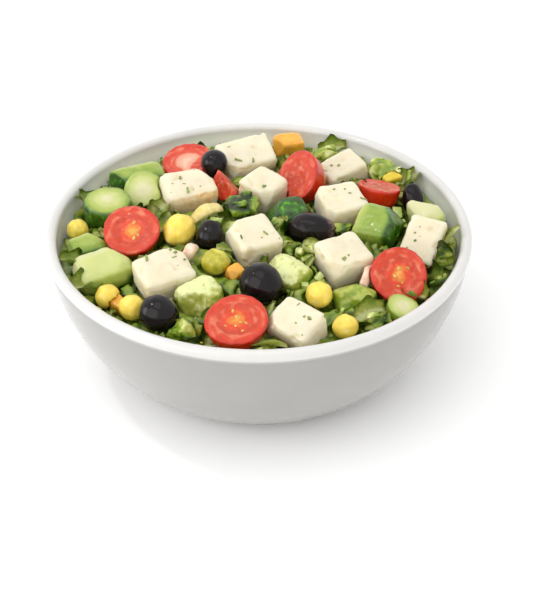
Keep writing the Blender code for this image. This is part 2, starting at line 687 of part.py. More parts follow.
def crown(x, y):
    """The height of the heap's top."""
    share = min(1.0, (x * x + y * y) / RIM_RADIUS**2)
    relief = noise.noise(Vector((x, y, 0)) / HEAP_RELIEF_SPACING)
    return HEAP_EDGE_HEIGHT + HEAP_CROWN * (1 - share) + HEAP_RELIEF * relief


def make_core():
    """The body of the heap: it fills the bowl up to its crowned, uneven top."""
    wall = heap_wall()
    (low_r, low_z), (high_r, high_z) = wall[-2:]
    edge = low_r + (high_r - low_r) * (HEAP_EDGE_HEIGHT - low_z) / (high_z - low_z)
    rings = []
    for r, z in wall[:-1]:
        turns = (math.tau * i / HEAP_SIDES for i in range(HEAP_SIDES))
        rings.append([Vector((r * math.cos(a), r * math.sin(a), z)) for a in turns])
    for step in range(HEAP_RINGS, 0, -1):
        r = edge * step / HEAP_RINGS
        ring = []
        for i in range(HEAP_SIDES):
            x, y = r * math.cos(math.tau * i / HEAP_SIDES), r * math.sin(math.tau * i / HEAP_SIDES)
            ring.append(Vector((x, y, crown(x, y) if step < HEAP_RINGS else HEAP_EDGE_HEIGHT)))
        rings.append(ring)
    poles = (Vector((0, 0, FLOOR_THICKNESS + GAP)), Vector((0, 0, crown(0, 0))))
    bm = rings_to_solid(rings, poles)
    bmesh.ops.triangulate(bm, faces=bm.faces[:])
    return object_from(bm, "salad_heap", GREENS)


def make_greens(toppings):
    """The leaf pieces and chopped chunks that lie on the core, in a collection of their own."""
    greens = bpy.data.collections.new("greens")
    bpy.context.scene.collection.children.link(greens)
    inside = inside_of_bowl()
    for number, (middle, turn, lean, toward, length, width, curl) in enumerate(LEAVES):
        rng = random.Random(f"leaf {number}")
        leaf = object_from(leaf_piece(rng, length, width, curl), f"leaf_{number}", GREENS)
        stand(leaf, middle, turn, lean, toward, 0)
        move_to(leaf, greens)
        if overlap(leaf, inside):
            boolean(leaf, "INTERSECT", inside)
    bpy.data.objects.remove(inside)
    rng = random.Random("chopped chunks")
    tree = world_tree(toppings)
    for number in range(CHUNK_COUNT):
        radius = CHUNK_EDGE_RADIUS * math.sqrt((number + 0.5) / CHUNK_COUNT)
        x, y = radius * math.cos(number * GOLDEN_ANGLE), radius * math.sin(number * GOLDEN_ANGLE)
        size, turn = rng.uniform(*CHUNK_SIZES), rng.uniform(0, 360)
        middle = Vector((x, y, crown(x, y) + CHUNK_RISE * size))
        if tree.find_nearest(middle * MM)[3] / MM < size * CHUNK_ROOM:
            continue
        chunk = object_from(lump(rng, size), f"chunk_{number}", GREENS)
        stand(chunk, middle, turn, 0, 0, 0)
        move_to(chunk, greens)
    return greens


def move_to(obj, collection):
    bpy.context.scene.collection.objects.unlink(obj)
    collection.objects.link(obj)
    bpy.context.view_layer.update()


def well(obj):
    """An upright prism round a piece, from just under it to above the salad."""
    points = [obj.matrix_world @ v.co / MM for v in obj.data.vertices]
    floor = min(p.z for p in points) - GAP
    heading = obj.matrix_world.to_3x3() @ Vector((1, 0, 0))
    start = math.atan2(heading.y, heading.x)
    sides = BLOCK_WELL_SIDES if obj.name.startswith("feta") else ROUND_WELL_SIDES
    lines = []
    for i in range(sides):
        turn = start + math.tau * i / sides
        way = Vector((math.cos(turn), math.sin(turn)))
        lines.append((way, max(p.xy.dot(way) for p in points) + GAP))
    corners = []
    for (way, reach), (next_way, next_reach) in zip(lines, lines[1:] + lines[:1]):
        cross = way.x * next_way.y - way.y * next_way.x
        x = (reach * next_way.y - next_reach * way.y) / cross
        y = (way.x * next_reach - next_way.x * reach) / cross
        corners.append(Vector((x, y, 0)))
    rings = [[corner + Vector((0, 0, z)) for corner in corners] for z in (floor, BOWL_HEIGHT + ABOVE_SALAD)]
    bm = rings_to_solid(rings)
    bmesh.ops.remove_doubles(bm, verts=bm.verts, dist=WELL_MERGE)
    return object_from(bm, "well", GREENS)


def make_heap(toppings):
    """The core with its greens fused on and a well cut for each topping, as one solid."""
    heap = make_core()
    greens = make_greens(toppings)
    boolean(heap, "UNION", collection=greens)
    for obj in list(greens.objects):
        bpy.data.objects.remove(obj)
    bpy.data.collections.remove(greens)
    for topping in toppings:
        cutter = well(topping)
        if overlap(cutter, heap):
            boolean(heap, "DIFFERENCE", cutter)
        bpy.data.objects.remove(cutter)
    keep_largest(heap)
    return heap


def keep_largest(obj):
    """Keeps the part of the mesh that holds the most vertices."""
    bm = bmesh.new()
    bm.from_mesh(obj.data)
    bmesh.ops.triangulate(bm, faces=bm.faces[:])
    left = set(bm.verts)
    parts = []
    while left:
        part, edge = set(), [left.pop()]
        while edge:
            vert = edge.pop()
            part.add(vert)
            for other in (e.other_vert(vert) for e in vert.link_edges):
                if other in left:
                    left.remove(other)
                    edge.append(other)
        parts.append(part)
    parts.sort(key=len)
    for part in parts[:-1]:
        bmesh.ops.delete(bm, geom=list(part), context="VERTS")
    bm.to_mesh(obj.data)
    bm.free()


def main():
    clear_scene()
    make_bowl()
    toppings = make_toppings()
    bpy.context.view_layer.update()
    fit_to_neighbours(toppings)
    make_heap(toppings)


main()
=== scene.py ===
"""The looks of a greek salad in a white porcelain bowl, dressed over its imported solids.

Each food piece grows from a merged, finely remeshed copy of its own solid, so it keeps that solid's form and
place. Masks that the pieces carry as attributes, such as skin or cut face, tell the materials what is where.
"""

import json
import math
import random

import bmesh
import bpy
import numpy as np
from mathutils import Matrix, Vector, noise
from mathutils.bvhtree import BVHTree

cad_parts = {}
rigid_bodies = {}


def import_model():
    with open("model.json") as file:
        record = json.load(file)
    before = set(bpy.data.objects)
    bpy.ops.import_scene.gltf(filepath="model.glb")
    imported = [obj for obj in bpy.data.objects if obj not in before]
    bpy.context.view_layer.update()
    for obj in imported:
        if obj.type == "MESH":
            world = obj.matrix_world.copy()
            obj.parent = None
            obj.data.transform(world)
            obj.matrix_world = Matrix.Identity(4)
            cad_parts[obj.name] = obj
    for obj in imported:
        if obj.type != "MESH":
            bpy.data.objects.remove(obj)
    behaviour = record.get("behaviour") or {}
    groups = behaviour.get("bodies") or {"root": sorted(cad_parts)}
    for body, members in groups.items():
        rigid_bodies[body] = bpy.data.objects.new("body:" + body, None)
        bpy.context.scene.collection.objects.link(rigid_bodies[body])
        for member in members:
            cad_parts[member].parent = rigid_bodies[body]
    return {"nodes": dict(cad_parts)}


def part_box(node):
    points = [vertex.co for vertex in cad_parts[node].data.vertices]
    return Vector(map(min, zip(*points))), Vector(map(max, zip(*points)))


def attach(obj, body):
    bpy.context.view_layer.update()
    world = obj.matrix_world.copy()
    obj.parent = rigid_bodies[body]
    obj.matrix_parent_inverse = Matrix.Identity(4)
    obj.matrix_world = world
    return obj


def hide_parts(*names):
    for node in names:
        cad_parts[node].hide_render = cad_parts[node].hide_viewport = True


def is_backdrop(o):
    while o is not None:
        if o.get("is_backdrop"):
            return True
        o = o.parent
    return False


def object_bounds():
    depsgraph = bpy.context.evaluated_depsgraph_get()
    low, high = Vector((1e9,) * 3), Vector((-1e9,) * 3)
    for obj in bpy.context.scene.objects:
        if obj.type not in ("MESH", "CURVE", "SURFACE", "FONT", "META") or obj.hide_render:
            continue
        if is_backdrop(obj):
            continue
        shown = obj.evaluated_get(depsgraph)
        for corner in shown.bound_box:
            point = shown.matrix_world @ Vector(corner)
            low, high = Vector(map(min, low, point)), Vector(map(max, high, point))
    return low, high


bl_info = {
    "name": "Greek Salad",
    "version": (1, 0, 0),
    "blender": (4, 5, 0),
    "location": "View3D > Sidebar > Salad",
    "description": "Builds a greek salad in a porcelain bowl over its packed solids",
    "category": "Add Mesh",
}

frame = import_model()
CAD_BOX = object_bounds()
BODY = "root"
MM = 0.001

BOWL_LOW, BOWL_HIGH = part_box("bowl")
RIM_RADIUS = (BOWL_HIGH[0] - BOWL_LOW[0]) / 2
BOWL_HEIGHT = BOWL_HIGH[2]

# The bowl's section, as the part's source has it
FOOT_RADIUS = 46.7 * MM
FOOT_RING = 5.0 * MM
FOOT_RECESS = 1.5 * MM
WALL_SET_BACK = 1.1 * MM
WALL = 4.0 * MM
FLOOR = 5.0 * MM
FLOOR_RADIUS = FOOT_RADIUS - 3 * MM
INNER_RADIUS = RIM_RADIUS - WALL_SET_BACK - WALL
FULLNESS = (1.156, 1.183)

# The rim's bead, in degrees: where it leaves the outer wall, and how far it turns over to the inner one
BEAD_FROM = -62
BEAD_TURN = 242

# Points along the section
OUTER_STEPS = 26
BEAD_STEPS = 24
INNER_STEPS = 22

# The glaze's tone on the rim, from 0 for the outer wall's to 1 for the inner wall's; below 1 the rim takes
# part of the outer wall's painted shade
RIM_TONE = 0.5

# The camera that the photograph's rim and outline give
VIEW_TARGET = (5.65 * MM, 0.0, 24.0 * MM)
VIEW_DISTANCE = 0.6
VIEW_ELEVATION = 35.95
VIEW_LENS = 81.8
VIEW_SENSOR = 36.0

# How far the ground reaches to each side
GROUND_REACH = 3.0

# The lights: place, size, and share of the key light's power
LIGHTS = {
    "key light": ((-0.75, -1.0, 0.75), 1.2, 1.0),
    "top light": ((-0.05, -0.15, 1.2), 0.7, 0.25),
    "side light": ((-1.08, -0.2, 0.38), 0.6, 0.6),
    "glint light": ((-0.45, 0.05, 0.9), 0.07, 0.22),
}

# The heap of leaves: where it starts to swell toward the wall, over what width, and where its top begins
HEAP_SHOULDER = 78 * MM
HEAP_EDGE = 5 * MM
HEAP_TOP = 44 * MM

# What is strewn on the heap stays this far from the wall and the toppings, and is full size further off
OFF_WALL = 3.6 * MM
OFF_TOPPINGS = 1 * MM
FULL_SIZE_OFF_WALL = 9.8 * MM
FULL_SIZE_OFF_TOPPINGS = 7 * MM


def srgb(colour):
    """A colour's sRGB values, from a hex code or from three values."""
    return [int(colour[i : i + 2], 16) / 255 for i in (1, 3, 5)] if isinstance(colour, str) else colour


def linear(colour):
    """An sRGB colour as linear values."""
    return tuple(c / 12.92 if c <= 0.04045 else ((c + 0.055) / 1.055) ** 2.4 for c in srgb(colour))


def nodes_like(word):
    """The frame's nodes of one kind, such as feta_1 to feta_10, in order."""
    names = [n for n in frame["nodes"] if n.startswith(word + "_")]
    return sorted(names, key=lambda n: int(n.rsplit("_", 1)[1]))


# Node trees

# The kinds of node that are used most
MATH = "ShaderNodeMath"
RAMP = "ShaderNodeValToRGB"
COMBINE = "ShaderNodeCombineXYZ"
CARRIED = "ShaderNodeAttribute"
NAMED = "GeometryNodeInputNamedAttribute"
RANDOM = "FunctionNodeRandomValue"

# Takes a collection's shapes one by one, each from its own origin
ONE_BY_ONE = {"Separate Children": True, "Reset Children": True}


def add(tree, kind, settings=None, **links):
    """Adds a node, sets its ramp stops, properties and sockets, and links inputs from sockets or nodes."""
    made = tree.nodes.new(kind)
    for key, value in (settings or {}).items():
        if key == "stops":
            band = made.color_ramp
            band.interpolation = "EASE"
            while len(band.elements) < len(value):
                band.elements.new(0.5)
            for element, (place, colour) in zip(band.elements, value):
                element.position = place
                element.color = (*linear(colour), 1.0)
        elif isinstance(key, str) and hasattr(made, key):
            setattr(made, key, value)
        else:
            made.inputs[key].default_value = value
    for name, source in links.items():
        target = made.inputs[int(name[1:])] if name[0] == "_" else made.inputs[name.replace("_", " ")]
        tree.links.new(getattr(source, "outputs", [source])[0], target)
    return made


def new_material(name):
    """A material with an empty node tree."""
    mat = bpy.data.materials.new(name)
    mat.use_nodes = True
    mat.node_tree.nodes.clear()
    return mat, mat.node_tree


def surfaced(mat, tone, relief=None, roughness=0.5, ior=1.4, coat=(0, 0), under=(0, 0)):
    """Closes a material: a Principled shader with its colour, its fine relief and the surface's constants.

    The coat is a weight and a roughness. Light under the skin is a weight, a depth and a colour."""
    settings = {"Roughness": roughness, "IOR": ior}
    settings |= dict(zip(("Coat Weight", "Coat Roughness"), coat))
    settings |= dict(zip(("Subsurface Weight", "Subsurface Scale", "Subsurface Radius"), under))
    links = {"Normal": relief} if relief else {}
    shader = add(mat.node_tree, "ShaderNodeBsdfPrincipled", settings, Base_Color=tone, **links)
    add(mat.node_tree, "ShaderNodeOutputMaterial", Surface=shader)
    return mat


# Patterns, each of several nodes, that the materials share. Sizes are real millimetres on object coordinates.


def cloud(tree, size_mm, **grain):
    """Noise with features of that size, and with its own Detail, Roughness or Distortion."""
    place = add(tree, "ShaderNodeTexCoord")
    settings = {"Scale": 1 / (size_mm * MM), "Detail": 3.0, "Roughness": 0.55, **grain}
    return add(tree, "ShaderNodeTexNoise", settings, Vector=place.outputs["Object"])


def blotched(tree, size_mm, stops, **grain):
    """A colour that drifts between the stops in blotches of that size."""
    return add(tree, RAMP, {"stops": stops}, Fac=cloud(tree, size_mm, **grain))


def centred(span):
    """Settings that spread a value from 0 to 1 over a span about 0."""
    return {"operation": "MULTIPLY_ADD", 1: span, 2: -span / 2}


def banded(tree, mask, size_mm, spread, stops, tint=0.0):
    """A colour that follows a mask on the mesh, in bands broken by noise and shifted by each thing's tint."""
    noisy = cloud(tree, size_mm, Detail=4.5, Roughness=0.62, Distortion=0.6)
    wander = add(tree, MATH, centred(spread), _0=noisy)
    reach = add(tree, CARRIED, {"attribute_name": mask}).outputs["Fac"]
    if tint:
        own = add(tree, CARRIED, {"attribute_name": "tint"})
        shift = add(tree, MATH, centred(tint), _0=own.outputs["Fac"])
        reach = add(tree, MATH, _0=reach, _1=shift)
    reach = add(tree, MATH, {"use_clamp": True}, _0=reach, _1=wander)
    return add(tree, RAMP, {"stops": stops}, Fac=reach)


def masked(tree, mask, share, base, over):
    """One colour laid over another where a mask on the mesh says so, at most by that share."""
    carried = add(tree, CARRIED, {"attribute_name": mask})
    factor = add(tree, MATH, {"operation": "MULTIPLY", 1: share}, _0=carried.outputs["Fac"])
    return add(tree, "ShaderNodeMix", {"data_type": "RGBA"}, _0=factor, _6=base, _7=over).outputs[2]


def uneven(tree, size_mm, depth_mm, strength, mask=None, **grain):
    """Fine relief for the shader's normal, kept to a mask on the mesh if one is named."""
    height = cloud(tree, size_mm, **grain)
    if mask:
        carried = add(tree, CARRIED, {"attribute_name": mask})
        least = {"operation": "MULTIPLY_ADD", 1: 0.94, 2: 0.06}
        share = add(tree, MATH, least, _0=carried.outputs["Fac"])
        height = add(tree, MATH, {"operation": "MULTIPLY"}, _0=height, _1=share)
    return add(tree, "ShaderNodeBump", {"Strength": strength, "Distance": depth_mm * MM}, Height=height)


# Meshes


def merged_copy(name):
    """A bmesh of a node's solid with its loose triangles joined."""
    bm = bmesh.new()
    bm.from_mesh(frame["nodes"][name].data)
    bmesh.ops.remove_doubles(bm, verts=bm.verts, dist=0.002 * MM)
    return bm


def link_object(data, name):
    """Puts a mesh, a light or a camera in the scene."""
    obj = bpy.data.objects.new(name, data)
    bpy.context.scene.collection.objects.link(obj)
    return obj


def remeshed(name, voxel_mm, relax):
    """An even, finely meshed skin over a node's solid, relaxed a little so that its edges are soft."""
    bm = merged_copy(name)
    mesh = bpy.data.meshes.new(name)
    bm.to_mesh(mesh)
    bm.free()
    obj = link_object(mesh, name + "_look")
    modifier = obj.modifiers.new("even skin", "REMESH")
    modifier.mode = "VOXEL"
    modifier.voxel_size = voxel_mm * MM
    modifier.use_smooth_shade = True
    smoother = obj.modifiers.new("relax", "SMOOTH")
    smoother.iterations = relax
    smoother.factor = 0.5
    return made_plain(obj)


def made_plain(obj):
    """Swaps an object's mesh and modifiers for the mesh that they make."""
    bpy.context.view_layer.update()
    graph = bpy.context.evaluated_depsgraph_get()
    made = bpy.data.meshes.new_from_object(obj.evaluated_get(graph))
    start = obj.data
    obj.modifiers.clear()
    obj.data = made
    bpy.data.meshes.remove(start)
    made.name = obj.name
    return obj


def remeshed_pieces(word, voxel_mm, relax):
    """Remeshes each piece of a kind: its number, name and object, and its vertices' places and normals."""
    for number, name in enumerate(nodes_like(word), 1):
        obj = remeshed(name, voxel_mm, relax)
        yield number, name, obj, *corners_of(obj.data)


def corners_of(mesh):
    """The vertices' places and normals, as arrays."""
    count = len(mesh.vertices)
    places, normals = np.empty(count * 3), np.empty(count * 3)
    mesh.vertices.foreach_get("co", places)
    mesh.vertex_normals.foreach_get("vector", normals)
    return places.reshape(-1, 3), normals.reshape(-1, 3)


def from_axis(places):
    """How far each place is from the bowl's upright axis."""
    return np.hypot(places[:, 0], places[:, 1])


def limited(values, least=0):
    """Values held between a least one and 1."""
    return np.clip(values, least, 1)


def push_out(mesh, amounts):
    """Moves each vertex along its normal."""
    places, normals = corners_of(mesh)
    places += normals * np.asarray(amounts)[:, None]
    mesh.vertices.foreach_set("co", places.ravel())
    mesh.update()


def store(mesh, name, values):
    """Keeps one number for each vertex, or one for all, as an attribute that the materials read."""
    attribute = mesh.attributes.new(name, "FLOAT", "POINT")
    each = np.broadcast_to(np.asarray(values, dtype=np.float32), len(mesh.vertices))
    attribute.data.foreach_set("value", np.ascontiguousarray(each))


def noise_at(places, size_mm, shift):
    """Smooth noise from about -1 to 1 at each place, with features of that size."""
    scale = 1 / (size_mm * MM)
    offset = Vector((shift * 7.3, shift * 3.1, shift * 5.7))
    return np.array([noise.noise(Vector(p) * scale + offset) for p in places])


def ridge_at(places, size_mm, shift):
    """Noise with sharp creases, from 0 in the crease to 1 on the swell."""
    return limited(np.abs(noise_at(places, size_mm, shift)) * 2.2)


def flat_groups(bm, spread_degrees):
    """Groups a solid's faces by the way they face, widest group first: (area, normal, face indices)."""
    limit = math.cos(math.radians(spread_degrees))
    groups = []
    for face in sorted(bm.faces, key=lambda f: -f.calc_area()):
        for group in groups:
            if face.normal.dot(group[1].normalized()) > limit:
                group[0] += face.calc_area()
                group[1] += face.normal * face.calc_area()
                group[2].append(face.index)
                break
        else:
            groups.append([face.calc_area(), face.normal * face.calc_area(), [face.index]])
    groups.sort(key=lambda g: -g[0])
    return [(area, normal.normalized(), faces) for area, normal, faces in groups]


def nearest_faces(bm, places):
    """For each place, the index of the nearest face of the solid."""
    tree = BVHTree.FromBMesh(bm)
    return np.array([tree.find_nearest(Vector(p))[2] for p in places])


def softened(mesh, values, rounds):
    """Averages a vertex value with its neighbours' a few times."""
    edges = np.empty(len(mesh.edges) * 2, dtype=np.int64)
    mesh.edges.foreach_get("vertices", edges)
    edges = edges.reshape(-1, 2)
    values = np.asarray(values, dtype=float)
    degree = np.bincount(edges.ravel(), minlength=len(values)) + 1
    for _ in range(rounds):
        total = values.copy()
        np.add.at(total, edges[:, 0], values[edges[:, 1]])
        np.add.at(total, edges[:, 1], values[edges[:, 0]])
        values = total / degree
    return values


def finish_piece(obj, node, material, slot, **masks):
    """Gives a piece its masks and its material, hides its node's solid and fixes the piece to the body."""
    if not obj.data.polygons:
        raise RuntimeError(f"{node} came out empty")
    for name, values in masks.items():
        store(obj.data, name, values)
    obj.data.materials.clear()
    obj.data.materials.append(material)
    obj.data.shade_smooth()
    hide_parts(node)
    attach(obj, BODY)


# Materials


def shade(colour, share):
    """A darker or lighter tone of an sRGB colour."""
    return [min(1.0, channel * share) for channel in srgb(colour)]


def glazed_porcelain(settings):
    """Slip-cast porcelain under clear glaze: the eye gets a hard gloss, a faint wave and a greyer outside
    that is painted shade.
    """
    mat, tree = new_material("glazed porcelain")
    # Painted shade: the outer wall takes a darker tone of the same glaze as the inner wall.
    outside = blotched(tree, 40, [(0.3, shade(settings.glaze_painted_shade, 0.98)), (0.7, settings.glaze_painted_shade)])
    inside = blotched(tree, 40, [(0.3, shade(settings.glaze, 0.98)), (0.7, settings.glaze)])
    return surfaced(
        mat, masked(tree, "inside", 1.0, outside, inside), uneven(tree, 14, 0.12, 0.25, Detail=1.0),
        roughness=0.16, ior=1.5, coat=(0.2, 0.06), under=(0.4, 0.005, (1.0, 0.95, 0.85)))


def crumbly_feta(settings):
    """Brined sheep's cheese: the eye gets a matt cream white and a fine grain, with painted shade in its pits
    and an ochre tone on one block that is partly dressing and partly painted shade.
    """
    mat, tree = new_material("crumbly feta")
    white = settings.feta
    tones = [(0.30, shade(white, 0.965)), (0.52, white), (0.75, shade(white, 1.02))]
    cream = blotched(tree, 9, tones, Detail=4.0)
    # Partly dressing and partly painted shade: the ochre tone that a mask lays on one block's right-hand
    # sides
    oil_and_shade = blotched(tree, 2.2, [(0.25, "#CFA05E"), (0.75, "#EBCF9E")], Detail=5.0, Roughness=0.7)
    # Painted shade: the pits take this darker crumb tone
    crumb = blotched(tree, 2.2, [(0.2, "#D4BF8A"), (0.8, "#E6D6A8")], Detail=5.0, Roughness=0.7)
    tone = masked(tree, "pit", 0.4, masked(tree, "stain", 1.0, cream, oil_and_shade), crumb)
    return surfaced(
        mat, tone, uneven(tree, 1.6, 0.35, 0.6, Detail=6.0, Roughness=0.7), coat=(0.1, 0.3),
        under=(0.6, 0.009, (1.0, 0.75, 0.45)))


def ripe_tomato(settings):
    """Cherry tomato: the eye gets taut glossy skin, and wet flesh in ragged rings round a golden middle."""
    mat, tree = new_material("ripe cherry tomato")
    rind, red = settings.tomato_skin, settings.tomato_flesh
    skin = blotched(tree, 8, [(0.3, shade(rind, 0.88)), (0.7, rind)])
    ripe = [(0.00, "#E3A848"), (0.16, "#DF7A28"), (0.32, shade(red, 1.04)), (0.58, shade(red, 0.94))]
    pale = [(0.00, "#EFC2A4"), (0.34, "#E8A084"), (0.50, "#D84A2C")]
    flesh = banded(tree, "reach", 4.5, 0.55, [*ripe, (0.82, red), (1.0, rind)])
    milky = banded(tree, "reach", 4.5, 0.3, [*pale, (1.0, rind)])
    rays = blotched(tree, 3, [(0.3, "#E8704A"), (0.7, "#F2AC84")])
    flesh = masked(tree, "arc", 0.4, masked(tree, "milky", 1.0, flesh, milky), rays)
    wet = uneven(tree, 1.6, 1.0, 0.5, mask="cut", Detail=5.0, Roughness=0.7, Distortion=2.0)
    return surfaced(
        mat, masked(tree, "cut", 1.0, skin, flesh), wet, roughness=0.22, ior=1.36, coat=(0.45, 0.05),
        under=(0.12, 0.002, (1.0, 0.25, 0.12)))


def ripe_olive(settings):
    """Cured black olive: the eye gets oily near-black skin, fine wrinkles, and brown flesh at a tear."""
    mat, tree = new_material("cured black olive")
    dark = settings.olive
    skin = blotched(tree, 5, [(0.3, shade(dark, 0.6)), (0.6, dark), (0.85, shade(dark, 2.1))], Detail=4.0)
    flesh = blotched(tree, 1.5, [(0.3, "#2B1B22"), (0.7, "#8A6C62")])
    tone = masked(tree, "torn", 1.0, skin, flesh)
    return surfaced(mat, tone, uneven(tree, 1.4, 0.25, 0.22, Distortion=0.8), roughness=0.12, ior=1.34)


def cooked_chickpea(settings):
    """Boiled chickpea: the eye gets a soft yellow skin with a moist sheen, greener on some."""
    mat, tree = new_material("cooked chickpea")
    tone = settings.chickpea
    yellow = blotched(tree, 4, [(0.25, shade(tone, 0.94)), (0.55, tone), (0.8, "#F8E796")])
    green = blotched(tree, 4, [(0.3, "#A8A024"), (0.7, "#D6CF4E")])
    return surfaced(
        mat, masked(tree, "tint", 1.0, yellow, green), uneven(tree, 1.3, 0.15, 0.25, Detail=2.0),
        roughness=0.32, ior=1.42, coat=(0.3, 0.15), under=(0.3, 0.002, (1.0, 0.6, 0.2)))


def crisp_cucumber(settings):
    """Cut cucumber: the eye gets pale watery flesh that greens toward a dark, faintly streaked skin."""
    mat, tree = new_material("crisp cucumber")
    rings = [(0.38, "#BFC67A"), (0.62, "#A8B658"), (0.84, "#829C36"), (1.0, "#5A7C22")]
    flesh = banded(tree, "reach", 5, 0.3, [(0.05, settings.cucumber), *rings])
    dark = settings.cucumber_skin
    skin = [(0.3, shade(dark, 0.6)), (0.55, dark), (0.8, shade(dark, 1.9))]
    streaks = blotched(tree, 3.2, skin, Distortion=0.6)
    return surfaced(
        mat, masked(tree, "skin", 1.0, flesh, streaks), uneven(tree, 1.8, 0.3, 0.4, Detail=4.0),
        roughness=0.25, ior=1.37, coat=(0.4, 0.12), under=(0.22, 0.003, (0.9, 1.0, 0.3)))


def leafy_green(name, settings, lightness=1.0, tint=0.0):
    """Washed salad leaf: the eye gets waxy tissue, pale on its ribs, with painted light on its folds and
    painted shade in its creases.
    """
    mat, tree = new_material(name)
    dark = settings.leaf_dark
    tones = [(0.0, shade(dark, 0.5)), (0.22, dark), (0.46, "#809A28"), (0.72, settings.leaf_light)]
    stops = [(place, shade(tone, lightness)) for place, tone in tones]
    # The fold mask gives the ribs their own paleness; on the heap and the crumpled pieces it also paints
    # light on the folds and shade in the creases
    tissue = banded(tree, "fold", 4.5, 0.85, [*stops, (0.97, "#DDE2A0")], tint)
    return surfaced(
        mat, tissue, uneven(tree, 1.8, 0.6, 0.5, Detail=5.0, Roughness=0.65, Distortion=0.6), roughness=0.3,
        ior=1.42, coat=(0.35, 0.15), under=(0.15, 0.002, (0.9, 1.0, 0.2)))


def moist_cut(name, low, high, roughness, size_mm, subsurface=0.25):
    """Moist food of one colour, such as cooked pepper, onion or a seed: the eye gets blotches and a sheen."""
    mat, tree = new_material(name)
    return surfaced(
        mat, blotched(tree, size_mm, [(0.3, low), (0.7, high)]), uneven(tree, size_mm * 0.4, 0.2, 0.35),
        roughness=roughness, coat=(0.4, 0.12), under=(subsurface, 0.002))


def matt_paper():
    """Matt white paper: the eye gets an even pale ground."""
    mat, tree = new_material("matt white paper")
    ground = blotched(tree, 300, [(0.0, "#FBFBFA"), (1.0, "#FFFFFF")], Detail=1.0)
    return surfaced(mat, ground, roughness=0.9, ior=1.3)


# Bowl


def bowl_section(bead):
    """The section as (radius, height) points, for a bead's radius.

    It runs from the middle of the underside, out over the rim and in to the floor's middle."""
    ring_inner = FOOT_RADIUS - FOOT_RING
    points = [(0.0, FOOT_RECESS), (ring_inner - 1.0 * MM, FOOT_RECESS), (ring_inner, 0.2 * MM)]
    points += [(ring_inner + 0.4 * MM, 0.0), (FOOT_RADIUS - 0.5 * MM, 0.0), (FOOT_RADIUS, 0.1 * MM)]
    outer_top = BOWL_HEIGHT - 2 * bead - 0.6 * MM
    points += wall_curve(FOOT_RADIUS, RIM_RADIUS - WALL_SET_BACK, 0.0, outer_top, OUTER_STEPS)
    for step in range(BEAD_STEPS + 1):
        angle = math.radians(BEAD_FROM + BEAD_TURN * step / BEAD_STEPS)
        r = RIM_RADIUS - bead + bead * math.cos(angle)
        points.append((r, BOWL_HEIGHT - bead + bead * math.sin(angle)))
    inner = wall_curve(FLOOR_RADIUS, INNER_RADIUS, FLOOR, outer_top - 1 * MM, INNER_STEPS)
    return points + inner[::-1] + [(FLOOR_RADIUS, FLOOR), (0.0, FLOOR)]


def wall_curve(foot, rim, low, high, steps):
    """Points up the bowl's rounded wall, from the foot to the upright stretch under the rim."""
    points = []
    for step in range(1, steps + 1):
        angle = step / steps * math.pi / 2
        r = foot + (rim - foot) * math.sin(angle) ** FULLNESS[0]
        z = low + (high - low) * (1 - math.cos(angle) ** FULLNESS[1])
        points.append((r, z))
    return points


def new_tree(name, **inputs):
    """An empty Geometry Nodes tree with named inputs; returns it with its inputs' sockets."""
    tree = bpy.data.node_groups.new(name, "GeometryNodeTree")
    for label, kind in inputs.items():
        tree.interface.new_socket(label, in_out="INPUT", socket_type="NodeSocket" + kind)
    tree.interface.new_socket("Made", in_out="OUTPUT", socket_type="NodeSocketGeometry")
    return tree, add(tree, "NodeGroupInput").outputs


def close_tree(tree, geometry, finish):
    """Ends a tree in Realize Instances and Set Material."""
    real = add(tree, "GeometryNodeRealizeInstances", Geometry=geometry)
    coated = add(tree, "GeometryNodeSetMaterial", Geometry=real, Material=finish)
    add(tree, "NodeGroupOutput", Made=coated)
    return tree


def turning_tree():
    """Geometry Nodes that turn a section, a line of vertices, round the upright axis."""
    tree, given = new_tree("turned section", Section="Geometry", Sides="Int", Finish="Material")
    section = given["Section"]
    count = add(tree, "GeometryNodeAttributeDomainSize", Geometry=section).outputs["Point Count"]
    columns = add(tree, MATH, {1: 1.0}, _0=given["Sides"])
    unit = {"Size X": 1.0, "Size Y": 1.0}
    grid = add(tree, "GeometryNodeMeshGrid", unit, Vertices_X=columns, Vertices_Y=count)
    position = add(tree, "GeometryNodeInputPosition")
    place = add(tree, "ShaderNodeSeparateXYZ", Vector=position).outputs
    turn_share = add(tree, MATH, {1: 0.5}, _0=place["X"])
    turn = add(tree, MATH, {"operation": "MULTIPLY", 1: math.tau}, _0=turn_share)
    row_share = add(tree, MATH, {1: 0.5}, _0=place["Y"])
    last = add(tree, MATH, {"operation": "SUBTRACT", 1: 1.0}, _0=count)
    row = add(tree, MATH, {"operation": "MULTIPLY"}, _0=row_share, _1=last)
    index = add(tree, MATH, {"operation": "ROUND"}, _0=row)
    vectors = {"data_type": "FLOAT_VECTOR"}
    point = add(tree, "GeometryNodeSampleIndex", vectors, Geometry=section, Value=position, Index=index)
    spun = add(tree, "ShaderNodeVectorRotate", {"rotation_type": "Z_AXIS"}, Vector=point, Angle=turn)
    moved = add(tree, "GeometryNodeSetPosition", Geometry=grid, Position=spun)
    closed = add(tree, "GeometryNodeMergeByDistance", {"Distance": 0.005 * MM}, Geometry=moved)
    return close_tree(tree, closed, given["Finish"])


